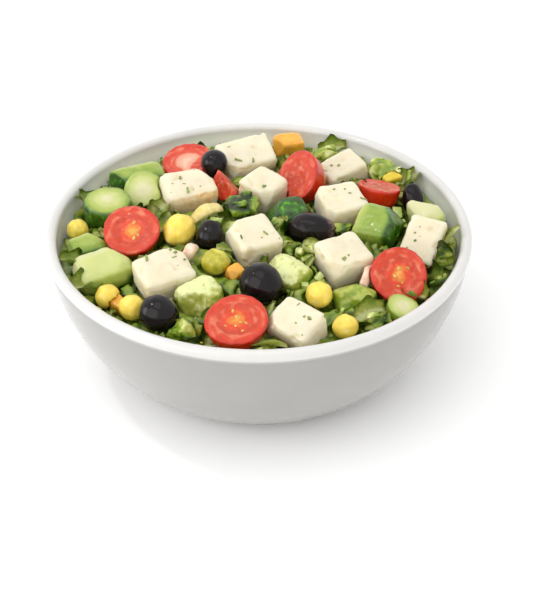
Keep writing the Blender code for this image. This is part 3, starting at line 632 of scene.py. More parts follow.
def strewing_tree():
    """Geometry Nodes that strew shapes where a surface's mask allows, each turned and sized at random."""
    tree, given = new_tree(
        "strewn shapes", Surface="Geometry", Shapes="Collection", Spacing="Float", Density="Float",
        Smallest="Float", Largest="Float", Tilt="Float", Lift="Float", Seed="Int", Finish="Material")
    tilt, seed = given["Tilt"], given["Seed"]
    allowed = add(tree, NAMED, {"data_type": "FLOAT", "Name": "allowed"})
    room = add(tree, NAMED, {"data_type": "FLOAT", "Name": "room"})
    points = add(
        tree, "GeometryNodeDistributePointsOnFaces", {"distribute_method": "POISSON"}, Mesh=given["Surface"],
        Distance_Min=given["Spacing"], Density_Max=given["Density"], Density_Factor=allowed, Seed=seed)
    shapes = add(tree, "GeometryNodeCollectionInfo", ONE_BY_ONE, Collection=given["Shapes"])
    size = add(tree, RANDOM, {"data_type": "FLOAT"}, _2=given["Smallest"], _3=given["Largest"], Seed=seed)
    scale = add(tree, MATH, {"operation": "MULTIPLY"}, _0=size.outputs[1], _1=room)
    placed = add(
        tree, "GeometryNodeInstanceOnPoints", {"Pick Instance": True}, Points=points,
        Instance=shapes, Rotation=points.outputs["Rotation"], Scale=scale)
    back = add(tree, MATH, {"operation": "MULTIPLY", 1: -1.0}, _0=tilt)
    least = add(tree, COMBINE, X=back, Y=back)
    most = add(tree, COMBINE, {"Z": math.tau}, X=tilt, Y=tilt)
    turn_seed = add(tree, MATH, {1: 1.0}, _0=seed)
    turn = add(tree, RANDOM, {"data_type": "FLOAT_VECTOR"}, _0=least, _1=most, Seed=turn_seed)
    turned = add(tree, "GeometryNodeRotateInstances", Instances=placed, Rotation=turn)
    rise = add(tree, COMBINE, Z=given["Lift"])
    lifted = add(tree, "GeometryNodeTranslateInstances", Instances=turned, Translation=rise)
    tint_seed = add(tree, MATH, {1: 2.0}, _0=seed)
    tint = add(tree, RANDOM, {"data_type": "FLOAT"}, Seed=tint_seed)
    kept = add(
        tree, "GeometryNodeStoreNamedAttribute", {"data_type": "FLOAT", "domain": "INSTANCE", "Name": "tint"},
        Geometry=lifted, Value=tint.outputs[1])
    return close_tree(tree, kept, given["Finish"])


def laying_tree():
    """Geometry Nodes that lay a chosen shape at each given place, turned and sized as the place says."""
    tree, given = new_tree("laid shapes", Places="Geometry", Shapes="Collection", Finish="Material")
    stance = add(tree, NAMED, {"data_type": "FLOAT_VECTOR", "Name": "stance"})
    size = add(tree, NAMED, {"data_type": "FLOAT", "Name": "size"})
    which = add(tree, NAMED, {"data_type": "INT", "Name": "which"})
    shapes = add(tree, "GeometryNodeCollectionInfo", ONE_BY_ONE, Collection=given["Shapes"])
    placed = add(
        tree, "GeometryNodeInstanceOnPoints", {"Pick Instance": True}, Points=given["Places"],
        Instance=shapes, Instance_Index=which, Rotation=stance, Scale=size)
    return close_tree(tree, placed, given["Finish"])


def grow(name, mesh, tree, values):
    """Runs a tree over a mesh and keeps what it makes as a plain mesh."""
    obj = link_object(mesh, name)
    modifier = obj.modifiers.new(tree.name, "NODES")
    modifier.node_group = tree
    for item in tree.interface.items_tree:
        if item.name in values:
            modifier[item.identifier] = values[item.name]
    if not made_plain(obj).data.polygons:
        raise RuntimeError(f"{name} came out empty")
    return obj


# Small shapes to strew


def leaf_curl(width_mm, length_mm, cup, ruffle_mm, waves, seed, cells=(5, 7)):
    """A torn bit of leaf: a thin closed sheet, cupped along its rib and ruffled at its edge."""
    rng = random.Random(seed)
    phase, twist = rng.uniform(0, 6), rng.uniform(-0.5, 0.5)
    across, along = cells
    bm = bmesh.new()
    rows = []
    for i in range(along):
        v = i / (along - 1)
        half = width_mm / 2 * math.sin(math.pi * (0.12 + 0.78 * v)) ** 0.7
        row = []
        for j in range(across):
            u = j / (across - 1) * 2 - 1
            edge = abs(u) ** 1.7
            lift = cup * edge * half + ruffle_mm * edge * math.sin(waves * v * math.tau + phase + 1.5 * u)
            lift += twist * u * (v - 0.5) * length_mm - 0.035 * (v - 0.5) ** 2 * length_mm**1.6
            reach = half * u * (1 - 0.25 * cup * edge) + 0.2 * rng.uniform(-1, 1) * edge
            row.append(bm.verts.new(Vector((reach, (v - 0.5) * length_mm, lift)) * MM))
        rows.append(row)
    for lower, upper in zip(rows, rows[1:]):
        for j in range(across - 1):
            bm.faces.new((lower[j], lower[j + 1], upper[j + 1], upper[j]))
    bmesh.ops.solidify(bm, geom=bm.faces[:], thickness=0.5 * MM)
    bmesh.ops.recalc_face_normals(bm, faces=bm.faces)
    folds = [0.92 - 0.7 * min(1, abs(v.co.x) / (width_mm * MM / 2)) ** 0.7 for v in bm.verts]
    return bm, folds


def chopped_chunk(sizes_mm, skew, seed):
    """A chopped bit: a small block with uneven corners and soft edges."""
    rng = random.Random(seed)
    bm = bmesh.new()
    bmesh.ops.create_cube(bm, size=1)
    for vert in bm.verts:
        shift = Vector(rng.uniform(-skew, skew) for _ in range(3))
        vert.co = Vector((c + s) * m * MM for c, s, m in zip(vert.co, shift, sizes_mm))
    bmesh.ops.bevel(
        bm, geom=bm.edges[:] + bm.verts[:], offset=min(sizes_mm) * 0.2 * MM, segments=2, profile=0.6,
        affect="EDGES", clamp_overlap=True)
    bmesh.ops.recalc_face_normals(bm, faces=bm.faces)
    return bm, [0.75] * len(bm.verts)


def chopped_chunks(skew, first_seed, *forms):
    """Several chopped bits, one for each form in millimetres."""
    return [chopped_chunk(sizes, skew, seed) for seed, sizes in enumerate(forms, first_seed)]


def seed_shape(sizes_mm):
    """A flat oval seed."""
    bm = bmesh.new()
    bmesh.ops.create_uvsphere(bm, u_segments=10, v_segments=6, radius=0.5 * MM)
    for vert in bm.verts:
        vert.co = Vector(c * m for c, m in zip(vert.co, sizes_mm))
        vert.co.x *= 1 - 0.25 * vert.co.y / (0.5 * MM * sizes_mm[1])
    return bm, [0.8] * len(bm.verts)


def shape_store(name, shapes):
    """Keeps small shapes in a collection of their own, out of the scene."""
    kept = bpy.data.collections.new(name)
    for number, (bm, folds) in enumerate(shapes):
        mesh = bpy.data.meshes.new(f"{name} {number}")
        bm.to_mesh(mesh)
        bm.free()
        mesh.shade_smooth()
        store(mesh, "fold", folds)
        kept.objects.link(bpy.data.objects.new(f"{name} {number}", mesh))
    return kept


def grow_shapes(name, mesh, tree, shapes, material, slot, **values):
    """Runs a tree with a store of small shapes and fixes what it makes to the body as one piece."""
    kept = shape_store(name, shapes)
    obj = grow(name, mesh, tree, {"Shapes": kept, "Finish": material, **values})
    for shape in list(kept.objects):
        bpy.data.meshes.remove(shape.data)
    bpy.data.collections.remove(kept)
    obj.data.shade_smooth()
    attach(obj, BODY)


def ground_of(parts):
    """One surface of several pieces' parts where their masks allow something to lie.

    Each part is an object, a mask on its vertices, and how large what lies there may be."""
    places, faces, allowed, room = [], [], [], []
    for obj, mask_values, room_values in parts:
        start = len(places)
        places += [tuple(v.co) for v in obj.data.vertices]
        allowed += list(mask_values)
        room += list(np.broadcast_to(room_values, len(mask_values)))
        for polygon in obj.data.polygons:
            if max(mask_values[i] for i in polygon.vertices) > 0.02:
                faces.append([start + i for i in polygon.vertices])
    mesh = bpy.data.meshes.new("ground")
    mesh.from_pydata(places, [], faces)
    store(mesh, "allowed", allowed)
    store(mesh, "room", room)
    return mesh


def strew(name, parts, shapes, material, slot, spacing_mm, lift_mm, **values):
    """Strews a kind of small thing over the parts of pieces that may carry it."""
    tree = bpy.data.node_groups.get("strewn shapes") or strewing_tree()
    values |= {"Spacing": spacing_mm * MM, "Lift": lift_mm * MM}
    grow_shapes(name, ground_of(parts), tree, shapes, material, slot, **values)


# What sets single pieces apart, as the photograph shows them

# The block with an ochre tone on its right-hand sides, partly dressing and partly painted shade
OILED_AND_SHADED_FETA = "feta_3"
MILKY_TOMATO = "tomato_2"
SIDE_ON_TOMATOES = ("tomato_3", "tomato_4", "tomato_5")
SEEDED_TOMATOES = {"tomato_1": 0.5, "tomato_6": 0.6, "tomato_7": 1.0}
TORN_OLIVE = "olive_5"
YELLOW_PEPPER = "pepper_4"
COOKED_ONION = "onion_2"
GREENER_CHICKPEAS = {"chickpea_1": 0.45, "chickpea_3": 1.0}

# How dark the skin of a whole cucumber slice is, from none to full
CUCUMBER_SLICES = {"cucumber_1": 0.9, "cucumber_3": 0.15, "cucumber_9": 0.0}

# The way that a cucumber chunk's skin faces, where the skin starts, and how green the flesh is there;
# cucumber_4's entry paints its darker, greener right and lower side as painted shade
CHUNK_SKINS_AND_SHADE = {
    "cucumber_2": ((0.1, -0.75, -0.1), 0.3, 0.86),
    "cucumber_4": ((0.8, -0.4, -0.4), 0.75, 0.74),
    "cucumber_5": ((0.2, -0.75, -0.4), 0.5, 1.0),
    "cucumber_6": ((0.8, -0.45, 0.1), 0.25, 0.86),
    "cucumber_7": ((0.2, -0.4, 0.8), -0.35, 1.0),
    "cucumber_8": ((0.5, -0.2, -0.8), 0.8, 0.68),
}

# Whether a lettuce piece is a smooth chopped heart, and its tint from dark to pale
LETTUCE_LOOKS = {
    "greens_1": (False, 0.0), "greens_2": (True, 0.6), "greens_3": (True, 0.6), "greens_4": (True, 0.15),
    "greens_5": (False, 0.35), "greens_6": (False, 0.75), "greens_7": (False, 0.8), "greens_8": (False, 0.35),
    "greens_9": (False, 0.6), "greens_10": (False, 0.45),
}

# Forms of torn leaf: width, length, cup, ruffle, waves, and cells across and along
TORN_LEAVES = (
    (13, 15, 0.7, 1.7, 1.9, (7, 9)), (16, 18, 0.6, 1.6, 1.6, (7, 9)),
    (8, 19, 0.7, 0.6, 1.2, (6, 9)), (8, 10, 0.5, 0.6, 1.5, (6, 7)),
)

# Leaves laid singly: middle, turn, lean and its heading, form, size, and tint from dark to pale
LAID_LEAVES = (
    ((79.0, -9.0, 60.0), 95, 62, 185, 2, 1.0, 1.0),
    ((73.0, -22.0, 58.6), 60, 34, 165, 1, 1.0, 0.1),
    ((70.0, -32.0, 58.0), 40, 35, 150, 0, 1.0, 0.25),
    ((-70.0, -38.5, 58.5), 140, 30, 30, 0, 1.0, 0.6),
    ((-76.0, -22.0, 58.5), 100, 30, 10, 0, 0.9, 0.5),
    ((22.5, -17.5, 63.5), 60, 40, -110, 3, 1.0, 1.0),
    ((63.5, -43.0, 57.5), 30, 25, 130, 0, 0.9, 0.6),
    ((44.0, -58.0, 59.5), 120, 20, -60, 0, 0.95, 0.7),
    ((3.0, -77.0, 58.5), 85, 25, 90, 2, 0.9, 0.85),
    ((-29.0, 66.0, 58.5), 70, 15, -100, 0, 0.9, 0.5),
    ((34.0, 71.0, 59.5), 100, 12, -100, 0, 0.9, 0.6),
    ((67.0, 43.0, 59.0), 130, 20, -140, 0, 0.9, 0.7),
    ((-76.5, 27.0, 58.0), 70, 30, -20, 0, 0.8, 0.4),
    ((44.0, 31.0, 62.0), 20, 15, -90, 3, 1.2, 0.6),
    ((-43.0, 12.0, 62.5), 150, 18, -90, 0, 0.8, 0.8),
)


# Pieces


def clearance(places, names):
    """How far each place is from the nearest of the named solids."""
    bm = bmesh.new()
    for name in names:
        bm.from_mesh(frame["nodes"][name].data)
    tree = BVHTree.FromBMesh(bm)
    bm.free()
    return np.array([tree.find_nearest(Vector(p))[3] for p in places])


def normals_inward(places, normals):
    """How far each vertex's normal points at the upright axis or up."""
    reach = np.maximum(from_axis(places), 1e-6)
    return normals[:, 2] - (places[:, 0] * normals[:, 0] + places[:, 1] * normals[:, 1]) / reach


def share_across(name, places):
    """How far across its node's box each place is, from 0 at the left to 1 at the right."""
    low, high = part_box(name)
    return (places[:, 0] - low[0]) / (high[0] - low[0])


def toppings():
    """The nodes that lie in the heap."""
    return [n for n in frame["nodes"] if n not in ("bowl", "salad_heap")]


def make_bowl(settings):
    """Turns the glazed bowl from its section."""
    line = bowl_section(settings.bead)
    mesh = bpy.data.meshes.new("bowl section")
    mesh.from_pydata([(r, 0.0, z) for r, z in line], [(i, i + 1) for i in range(len(line) - 1)], [])
    glaze = glazed_porcelain(settings)
    obj = grow("bowl_look", mesh, turning_tree(), {"Sides": settings.bowl_sides, "Finish": glaze})
    places, normals = corners_of(obj.data)
    # Painted shade: this mask leaves the outer wall, and the rim in part, in the darker outer glaze
    rim = limited((places[:, 2] - (BOWL_HEIGHT - 2.2 * settings.bead)) / (1.2 * MM))
    within = (places[:, 2] > FLOOR - 0.5 * MM) & (normals_inward(places, normals) > 0)
    inside = np.where(within, 1 - (1 - RIM_TONE) * rim, RIM_TONE * rim)
    finish_piece(obj, "bowl", glaze, "porcelain", inside=inside)


def make_heap(settings):
    """Crumples the heap of leaves, then strews leaf curls, chopped greens and small bits over its top."""
    obj = remeshed("salad_heap", 1.3, relax=2)
    places, normals = corners_of(obj.data)
    fold = 0.6 * ridge_at(places, 9, 1) + 0.4 * ridge_at(places, 3.5, 2)
    beside_wall = limited((from_axis(places) - HEAP_SHOULDER) / HEAP_EDGE)
    push_out(obj.data, (1.6 * fold - 1.3 + 1.1 * beside_wall) * MM * settings.leaf_relief)
    free = clearance(places, toppings())
    # Painted light and shade: the leaf colour is paler on upward faces and on the swells of the folds, and
    # darker in the creases and close to the toppings
    lit = limited(normals[:, 2]) * limited(free / (4 * MM), 0.35)
    leaf = leafy_green("washed salad leaf", settings, lightness=0.94)
    finish_piece(obj, "salad_heap", leaf, "greens", fold=0.22 + 0.73 * fold * lit)

    places, normals = corners_of(obj.data)
    off_wall = INNER_RADIUS - from_axis(places)
    top = (normals[:, 2] > 0.1) & (places[:, 2] > HEAP_TOP) & (off_wall > OFF_WALL)
    free = clearance(places, toppings())
    room = limited(np.minimum(free / FULL_SIZE_OFF_TOPPINGS, off_wall / FULL_SIZE_OFF_WALL), 0.36)
    allowed = np.where(top, limited((free - OFF_TOPPINGS) / (2.5 * MM)), 0)
    bed = [(obj, allowed, room)]

    forms = (11, 16, 0.7, 1.6, 1.7), (9, 13, 1.0, 1.2, 2.2), (13, 14, 0.5, 2.2, 2.4), (8, 17, 0.8, 1.4, 1.4)
    curls = [leaf_curl(*form, seed) for seed, form in enumerate(forms)]
    leaf = leafy_green("fresh lettuce leaf", settings, lightness=1.08, tint=0.6)
    strew(
        "lettuce_curls", bed, curls, leaf, "greens", 4.5, 0.9, Density=40000.0, Smallest=0.65, Largest=1.2,
        Tilt=0.6, Seed=11)
    chunks = chopped_chunks(0.16, 0, (6.5, 5, 4), (5, 7, 3.2), (5.5, 5.5, 2.5), (4, 8, 3))
    heart = moist_cut("chopped lettuce heart", "#9DB048", "#CFD88C", 0.22, 5)
    strew(
        "chopped_greens", bed, chunks, heart, "greens", 6.5, 1.0, Density=14000.0, Smallest=0.8, Largest=1.4,
        Tilt=0.7, Seed=23)
    bits = chopped_chunks(0.2, 9, (3, 3, 2), (4.5, 2, 1.4), (2.5, 3.5, 1.6))
    pepper = moist_cut("chopped sweet pepper", "#E8A52A", "#F3D35A", 0.25, 3)
    strew(
        "pepper_bits", bed, bits, pepper, "orange_pepper", 12.0, 1.2, Density=3500.0, Smallest=0.7,
        Largest=1.1, Tilt=0.6, Seed=31)


def make_feta(settings):
    """Crumbles the feta blocks and strews herb flecks on them."""
    cheese = crumbly_feta(settings)
    beds = []
    for number, name, obj, places, normals in remeshed_pieces("feta", 0.6, relax=2):
        crumb = noise_at(places, 8, number) * 0.5 + noise_at(places, 2.4, number + 20) * 0.14
        pit = limited(noise_at(places, 4.2, number + 40) - 0.34) * 2.4
        push_out(obj.data, (crumb - 0.25 - pit * 1.1) * MM * settings.feta_relief)
        stain = 0.0
        # Partly dressing and partly painted shade: ochre on the right-hand sides of one block, below its top
        if name == OILED_AND_SHADED_FETA:
            stain = limited((share_across(name, places) - 0.2) * 2) * limited((0.85 - normals[:, 2]) * 2)
            stain *= limited(0.85 + noise_at(places, 4, 3))
        # Painted shade: the pit mask is highest where the crumble is pushed in deepest
        finish_piece(obj, name, cheese, "feta", pit=limited(pit + 0.2 - crumb), stain=stain)
        places, normals = corners_of(obj.data)
        cluster = limited(0.35 + 2.5 * noise_at(places, 6, number + 60))
        beds.append((obj, limited((normals[:, 2] - 0.35) * 2) * cluster, 1.0))
    herb = moist_cut("chopped herb", "#4F6420", "#94A452", 0.45, 1.5, subsurface=0.05)
    flakes = chopped_chunks(0.25, 50, (2.9, 1.1, 0.35), (2.0, 1.6, 0.35), (1.1, 0.9, 0.3))
    strew(
        "herb_flecks", beds, flakes, herb, "greens", 1.8, 0.1, Density=float(settings.herb_density),
        Smallest=0.35, Largest=1.1, Tilt=0.25, Seed=5)


def ring_places(places, middle, normal):
    """Each place's distance from a middle line and its turn about it."""
    axis = Vector(normal)
    side = axis.orthogonal().normalized()
    other = axis.cross(side)
    offset = places - np.array(middle)
    along, across = offset @ np.array(side), offset @ np.array(other)
    return np.hypot(along, across), np.arctan2(across, along)


def make_tomatoes(settings):
    """Rounds the tomatoes, models their cut faces and sets the seeds in."""
    ripe = ripe_tomato(settings)
    beds = []
    for number, name, obj, places, _ in remeshed_pieces("tomato", 0.5, relax=8):
        solid = merged_copy(name)
        solid.faces.ensure_lookup_table()
        groups = flat_groups(solid, 12)
        cut_faces = {i for area, _, faces in groups if area > 0.4 * groups[0][0] for i in faces}
        _, facing, widest = groups[0]
        middle = sum((solid.faces[i].calc_center_median() for i in widest), Vector()) / len(widest)
        cut = np.isin(nearest_faces(solid, places), list(cut_faces)).astype(float)
        skin = solid.copy()
        skin.faces.ensure_lookup_table()
        bmesh.ops.delete(skin, geom=[skin.faces[i] for i in cut_faces], context="FACES_ONLY")
        rind = BVHTree.FromBMesh(skin)
        depth = np.array([rind.find_nearest(Vector(p))[3] for p in places])
        reach = 1 - depth / max(depth.max(), 1e-6)
        if name in SIDE_ON_TOMATOES:
            reach = 0.45 + 0.55 * reach
        radius, turn = ring_places(places, middle, facing)
        rings = np.array([
            noise.noise(Vector((math.cos(t) * 2.2 + number, math.sin(t) * 2.2, r / (1.9 * MM))))
            for r, t in zip(radius, turn)])
        cut = softened(obj.data, cut, 2)
        chamber = limited(1 - np.abs(reach - 0.4) / 0.25)
        chamber *= limited(0.2 + noise_at(places, 6, number) * 2)
        wet = noise_at(places, 1.6, number + 7) * 0.28 + noise_at(places, 4.5, number + 9) * 0.45
        push_out(obj.data, (cut * (0.1 * rings - 0.5 * chamber + wet) + (1 - cut) * 0.12) * MM)
        arc = limited((rings - 0.12) * 3.5) * limited((reach - 0.3) * 4)
        finish_piece(obj, name, ripe, "tomato", cut=cut, reach=reach, arc=arc, milky=name == MILKY_TOMATO)
        solid.free()
        skin.free()
        if name in SEEDED_TOMATOES:
            beds.append((obj, cut * limited((0.5 - reach) * 4) * SEEDED_TOMATOES[name], 1.0))
    seed = moist_cut("tomato seed", "#C98A2E", "#EBC46E", 0.2, 1.5)
    strew(
        "tomato_seeds", beds, [seed_shape((1.3, 2.0, 0.7))], seed, "tomato", 1.5, 0.05, Density=300000.0,
        Smallest=0.5, Largest=1.1, Tilt=0.4, Seed=3)


def make_olives(settings):
    """Smooths and wrinkles the olives a little and tears the one that shows its flesh."""
    cured = ripe_olive(settings)
    for number, name, obj, places, _ in remeshed_pieces("olive", 0.5, relax=34):
        wrinkles = noise_at(places, 6, number) * 0.25 + noise_at(places, 2.2, number + 5) * 0.06
        push_out(obj.data, (0.3 + wrinkles) * MM)
        torn = 0.0
        if name == TORN_OLIVE:
            torn = limited((share_across(name, places) - 0.8 + 0.12 * noise_at(places, 3, 9)) * 8)
        finish_piece(obj, name, cured, "black_olive", torn=torn)


def make_chickpeas(settings):
    """Rounds the chickpeas, with a crease toward the tip of each."""
    boiled = cooked_chickpea(settings)
    for number, name, obj, places, _ in remeshed_pieces("chickpea", 0.4, relax=26):
        offset = places - places.mean(0)
        turn = random.Random(number).uniform(0, math.pi)
        across = offset[:, 0] * math.cos(turn) + offset[:, 1] * math.sin(turn)
        crease = np.exp(-((across / (0.6 * MM)) ** 2)) * 0.18
        push_out(obj.data, (0.2 + noise_at(places, 3.5, number) * 0.25 - crease) * MM)
        finish_piece(obj, name, boiled, "chickpea", tint=GREENER_CHICKPEAS.get(name, 0.0))


def slice_masks(name, places, normals, dark):
    """Skin round the edge of a whole slice, and how far out each place is from the slice's middle."""
    solid = merged_copy(name)
    axis = np.array(flat_groups(solid, 9)[0][1])
    solid.free()
    offset = places - places.mean(0)
    radius = np.linalg.norm(offset - np.outer(offset @ axis, axis), axis=1)
    out = radius / radius.max()
    side = limited((0.8 - np.abs(normals @ axis)) * 4)
    return dark * side * limited((out - 0.75) * 8), limited(out - 0.2 * (1 - dark))


def make_cucumber(settings):
    """Softens the cucumber slices and chunks and marks their skin, and paints shade as darker, greener flesh
    on cucumber_4's right and lower side.
    """
    crisp = crisp_cucumber(settings)
    for number, name, obj, places, normals in remeshed_pieces("cucumber", 0.55, relax=6):
        if name in CUCUMBER_SLICES:
            skin, reach = slice_masks(name, places, normals, CUCUMBER_SLICES[name])
        else:
            way, limit, green = CHUNK_SKINS_AND_SHADE[name]
            # On cucumber_4 this skin and greener flesh are painted shade on its right and lower side
            facing = softened(obj.data, normals @ np.array(Vector(way).normalized()), 6)
            skin = limited((facing - limit + 0.15 * noise_at(places, 5, number)) * 5)
            reach = limited(green + 0.38 * (facing - limit))
        wobble = noise_at(places, 6, number) * 0.6 + noise_at(places, 2.5, number + 3) * 0.14
        push_out(obj.data, (wobble * (1 - 0.4 * skin) - 0.05) * MM)
        finish_piece(obj, name, crisp, "cucumber", skin=softened(obj.data, skin, 2), reach=reach)


def make_small_cuts(settings):
    """Softens the strips of sweet pepper and the slips of onion."""
    orange = moist_cut("roast sweet pepper", shade(settings.pepper, 0.92), settings.pepper, 0.2, 5)
    yellow = moist_cut("yellow sweet pepper", "#C9B022", "#EBCF3A", 0.2, 5)
    pink = moist_cut("raw onion", "#DDB49A", settings.onion, 0.25, 4)
    cream = moist_cut("cooked onion", "#DCC56E", "#EEE0A0", 0.25, 4)
    finishes = {YELLOW_PEPPER: yellow, COOKED_ONION: cream}
    for word, usual, slot in (("pepper", orange, "orange_pepper"), ("onion", pink, "onion")):
        for number, name, obj, places, _ in remeshed_pieces(word, 0.45, relax=4):
            lumps = noise_at(places, 8, number + 5) * 0.8 + noise_at(places, 4, number) * 0.35 - 0.15
            push_out(obj.data, lumps * MM)
            finish_piece(obj, name, finishes.get(name, usual), slot)


def make_lettuce(settings):
    """Crumples the leaf pieces that stand above the heap and smooths the chopped hearts."""
    leaf = leafy_green("crumpled lettuce", settings, tint=0.7)
    for number, name, obj, places, normals in remeshed_pieces("greens", 0.55, relax=2):
        coarse = ridge_at(places, 7.5, number + 3)
        fine = ridge_at(places, 2.6, number + 13)
        smooth, tint = LETTUCE_LOOKS[name]
        if smooth:
            push_out(obj.data, (noise_at(places, 7, number) * 0.9 + fine * 0.25 - 0.2) * MM)
            # Painted light and shade: the smooth hearts are paler where they face up and to the left and
            # darker on their lower right side
            facing = softened(obj.data, normals[:, 2] - 0.45 * normals[:, 0], 8)
            fold = limited(0.55 + 0.38 * facing + 0.15 * (fine - 0.5))
        else:
            # Painted shade: the crumpled leaves darken in their creases
            fold = 0.8 * coarse + 0.2 * fine
            push_out(obj.data, (2.2 * fold - 1.9) * MM * settings.leaf_relief)
            fold = 0.1 + 0.85 * fold
        finish_piece(obj, name, leaf, "lettuce", fold=fold, tint=tint)


def lay_leaves(settings):
    """Lays the larger torn leaves where they show between the pieces and the wall."""
    stances = []
    for _, turn, lean, toward, *_ in LAID_LEAVES:
        heading = math.radians(toward)
        tip = Matrix.Rotation(math.radians(lean), 3, Vector((-math.sin(heading), math.cos(heading), 0)))
        stances += (tip @ Matrix.Rotation(math.radians(turn), 3, "Z")).to_euler()
    places, _, _, _, forms, sizes, tints = zip(*LAID_LEAVES)
    mesh = bpy.data.meshes.new("places")
    mesh.from_pydata([Vector(place) * MM for place in places], [], [])
    mesh.attributes.new("stance", "FLOAT_VECTOR", "POINT").data.foreach_set("vector", stances)
    mesh.attributes.new("which", "INT", "POINT").data.foreach_set("value", forms)
    store(mesh, "size", sizes)
    store(mesh, "tint", tints)
    shapes = [leaf_curl(*form, seed, cells) for seed, (*form, cells) in enumerate(TORN_LEAVES, 100)]
    torn = leafy_green("torn lettuce leaf", settings, lightness=1.04, tint=0.7)
    grow_shapes("laid_leaves", mesh, laying_tree(), shapes, torn, "greens")


# Stage


def studio(settings):
    """Floor, soft lights and the camera at the photograph's angle."""
    bm = bmesh.new()
    bmesh.ops.create_grid(bm, x_segments=1, y_segments=1, size=GROUND_REACH)
    mesh = bpy.data.meshes.new("floor")
    bm.to_mesh(mesh)
    bm.free()
    floor = link_object(mesh, "floor")
    floor.data.materials.append(matt_paper())
    floor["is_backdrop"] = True

    world = bpy.data.worlds.new("white surroundings")
    world.use_nodes = True
    background = world.node_tree.nodes["Background"].inputs
    background["Color"].default_value = (1.0, 1.0, 1.0, 1.0)
    background["Strength"].default_value = settings.ambient
    bpy.context.scene.world = world
    for name, (place, size, share) in LIGHTS.items():
        data = bpy.data.lights.new(name, "AREA")
        data.shape = "DISK"
        data.size = size
        data.energy = settings.key_watts * share
        lamp = link_object(data, name)
        lamp.location = place
        lamp.rotation_euler = (Vector(VIEW_TARGET) - Vector(place)).to_track_quat("-Z", "Y").to_euler()

    data = bpy.data.cameras.new("camera")
    data.lens = VIEW_LENS
    data.sensor_width = VIEW_SENSOR
    data.clip_start = VIEW_DISTANCE / 60
    data.clip_end = VIEW_DISTANCE * 40
    camera = link_object(data, "camera")
    rise = math.radians(VIEW_ELEVATION)
    back = Vector((0.0, -math.cos(rise), math.sin(rise)))
    camera.location = Vector(VIEW_TARGET) + back * VIEW_DISTANCE
    camera.rotation_euler = (-back).to_track_quat("-Z", "Y").to_euler()
    bpy.context.scene.camera = camera
    view = bpy.context.scene.view_settings
    view.view_transform = "Standard"
    view.look = "None"
    view.exposure = 0.0


# Add-on


def colour_setting(name, description, code):
    """A colour that the user picks, kept as sRGB values."""
    return bpy.props.FloatVectorProperty(
        name=name, description=description, subtype="COLOR_GAMMA", size=3, min=0, max=1, default=srgb(code))


class SaladSettings(bpy.types.PropertyGroup):
    """Sizes and colours of the salad."""

    bowl_sides: bpy.props.IntProperty(
        name="Bowl sides", description="Facets round the bowl", default=160, min=24, max=256)
    bead: bpy.props.FloatProperty(
        name="Rim bead", description="Radius of the rolled rim", default=2.5 * MM, min=1 * MM, max=4 * MM,
        unit="LENGTH", subtype="DISTANCE")
    feta_relief: bpy.props.FloatProperty(
        name="Feta crumble", description="Depth of the crumble, as a share", default=1.0, min=0, max=2)
    leaf_relief: bpy.props.FloatProperty(
        name="Leaf folds", description="How deep the leaves fold, as a share", default=1.0, min=0, max=2)
    herb_density: bpy.props.IntProperty(
        name="Herb flecks", description="Most herb flecks on a square metre of cheese", default=26000, min=0,
        max=200000)
    ambient: bpy.props.FloatProperty(
        name="Surroundings", description="Brightness of the white surroundings", default=1.08, min=0, max=3)
    key_watts: bpy.props.FloatProperty(
        name="Key light", description="Power of the key light", default=4.2, min=0, max=200, unit="POWER")
    glaze: colour_setting("Glaze", "Colour of the glaze inside the bowl", "#F8F7F4")
    # Painted shade: a darker copy of the glaze that stands in for the shade on the outer wall
    glaze_painted_shade: colour_setting("Outer glaze", "Colour of the glaze outside the bowl", "#9F9D9A")
    feta: colour_setting("Feta", "Colour of the cheese", "#E1D8BE")
    tomato_skin: colour_setting("Tomato skin", "Colour of the tomatoes' skin", "#CC2A0A")
    tomato_flesh: colour_setting("Tomato flesh", "Colour of the tomatoes' cut flesh", "#D03C14")
    olive: colour_setting("Olive", "Colour of the olives", "#181112")
    chickpea: colour_setting("Chickpea", "Colour of the chickpeas", "#F4D658")
    cucumber: colour_setting("Cucumber", "Colour of the cucumber's flesh", "#D2CFA0")
    cucumber_skin: colour_setting("Cucumber skin", "Colour of the cucumber's skin", "#33600F")
    pepper: colour_setting("Pepper", "Colour of the orange sweet pepper", "#F0AE3E")
    onion: colour_setting("Onion", "Colour of the onion slips", "#EFDFC4")
    leaf_dark: colour_setting("Leaf, dark", "Colour in the creases of the leaves", "#486610")
    leaf_light: colour_setting("Leaf, light", "Colour on the folds of the leaves", "#ACB34A")


class SALAD_OT_bowl(bpy.types.Operator):
    """Turns the glazed bowl from its section"""

    bl_idname = "salad.bowl"
    bl_label = "Build Bowl"

    def execute(self, context):
        make_bowl(context.scene.salad)
        return {"FINISHED"}


class SALAD_OT_heap(bpy.types.Operator):
    """Crumples the heap of leaves and strews chopped greens over it"""

    bl_idname = "salad.heap"
    bl_label = "Build Salad Heap"

    def execute(self, context):
        make_heap(context.scene.salad)
        return {"FINISHED"}


class SALAD_OT_feta(bpy.types.Operator):
    """Crumbles the feta blocks and strews herb flecks on them"""

    bl_idname = "salad.feta"
    bl_label = "Build Feta"

    def execute(self, context):
        make_feta(context.scene.salad)
        return {"FINISHED"}


class SALAD_OT_tomatoes(bpy.types.Operator):
    """Rounds the tomatoes, models their cut faces and sets the seeds in"""

    bl_idname = "salad.tomatoes"
    bl_label = "Build Tomatoes"

    def execute(self, context):
        make_tomatoes(context.scene.salad)
        return {"FINISHED"}


class SALAD_OT_olives(bpy.types.Operator):
    """Smooths and wrinkles the olives"""

    bl_idname = "salad.olives"
    bl_label = "Build Olives"

    def execute(self, context):
        make_olives(context.scene.salad)
        return {"FINISHED"}


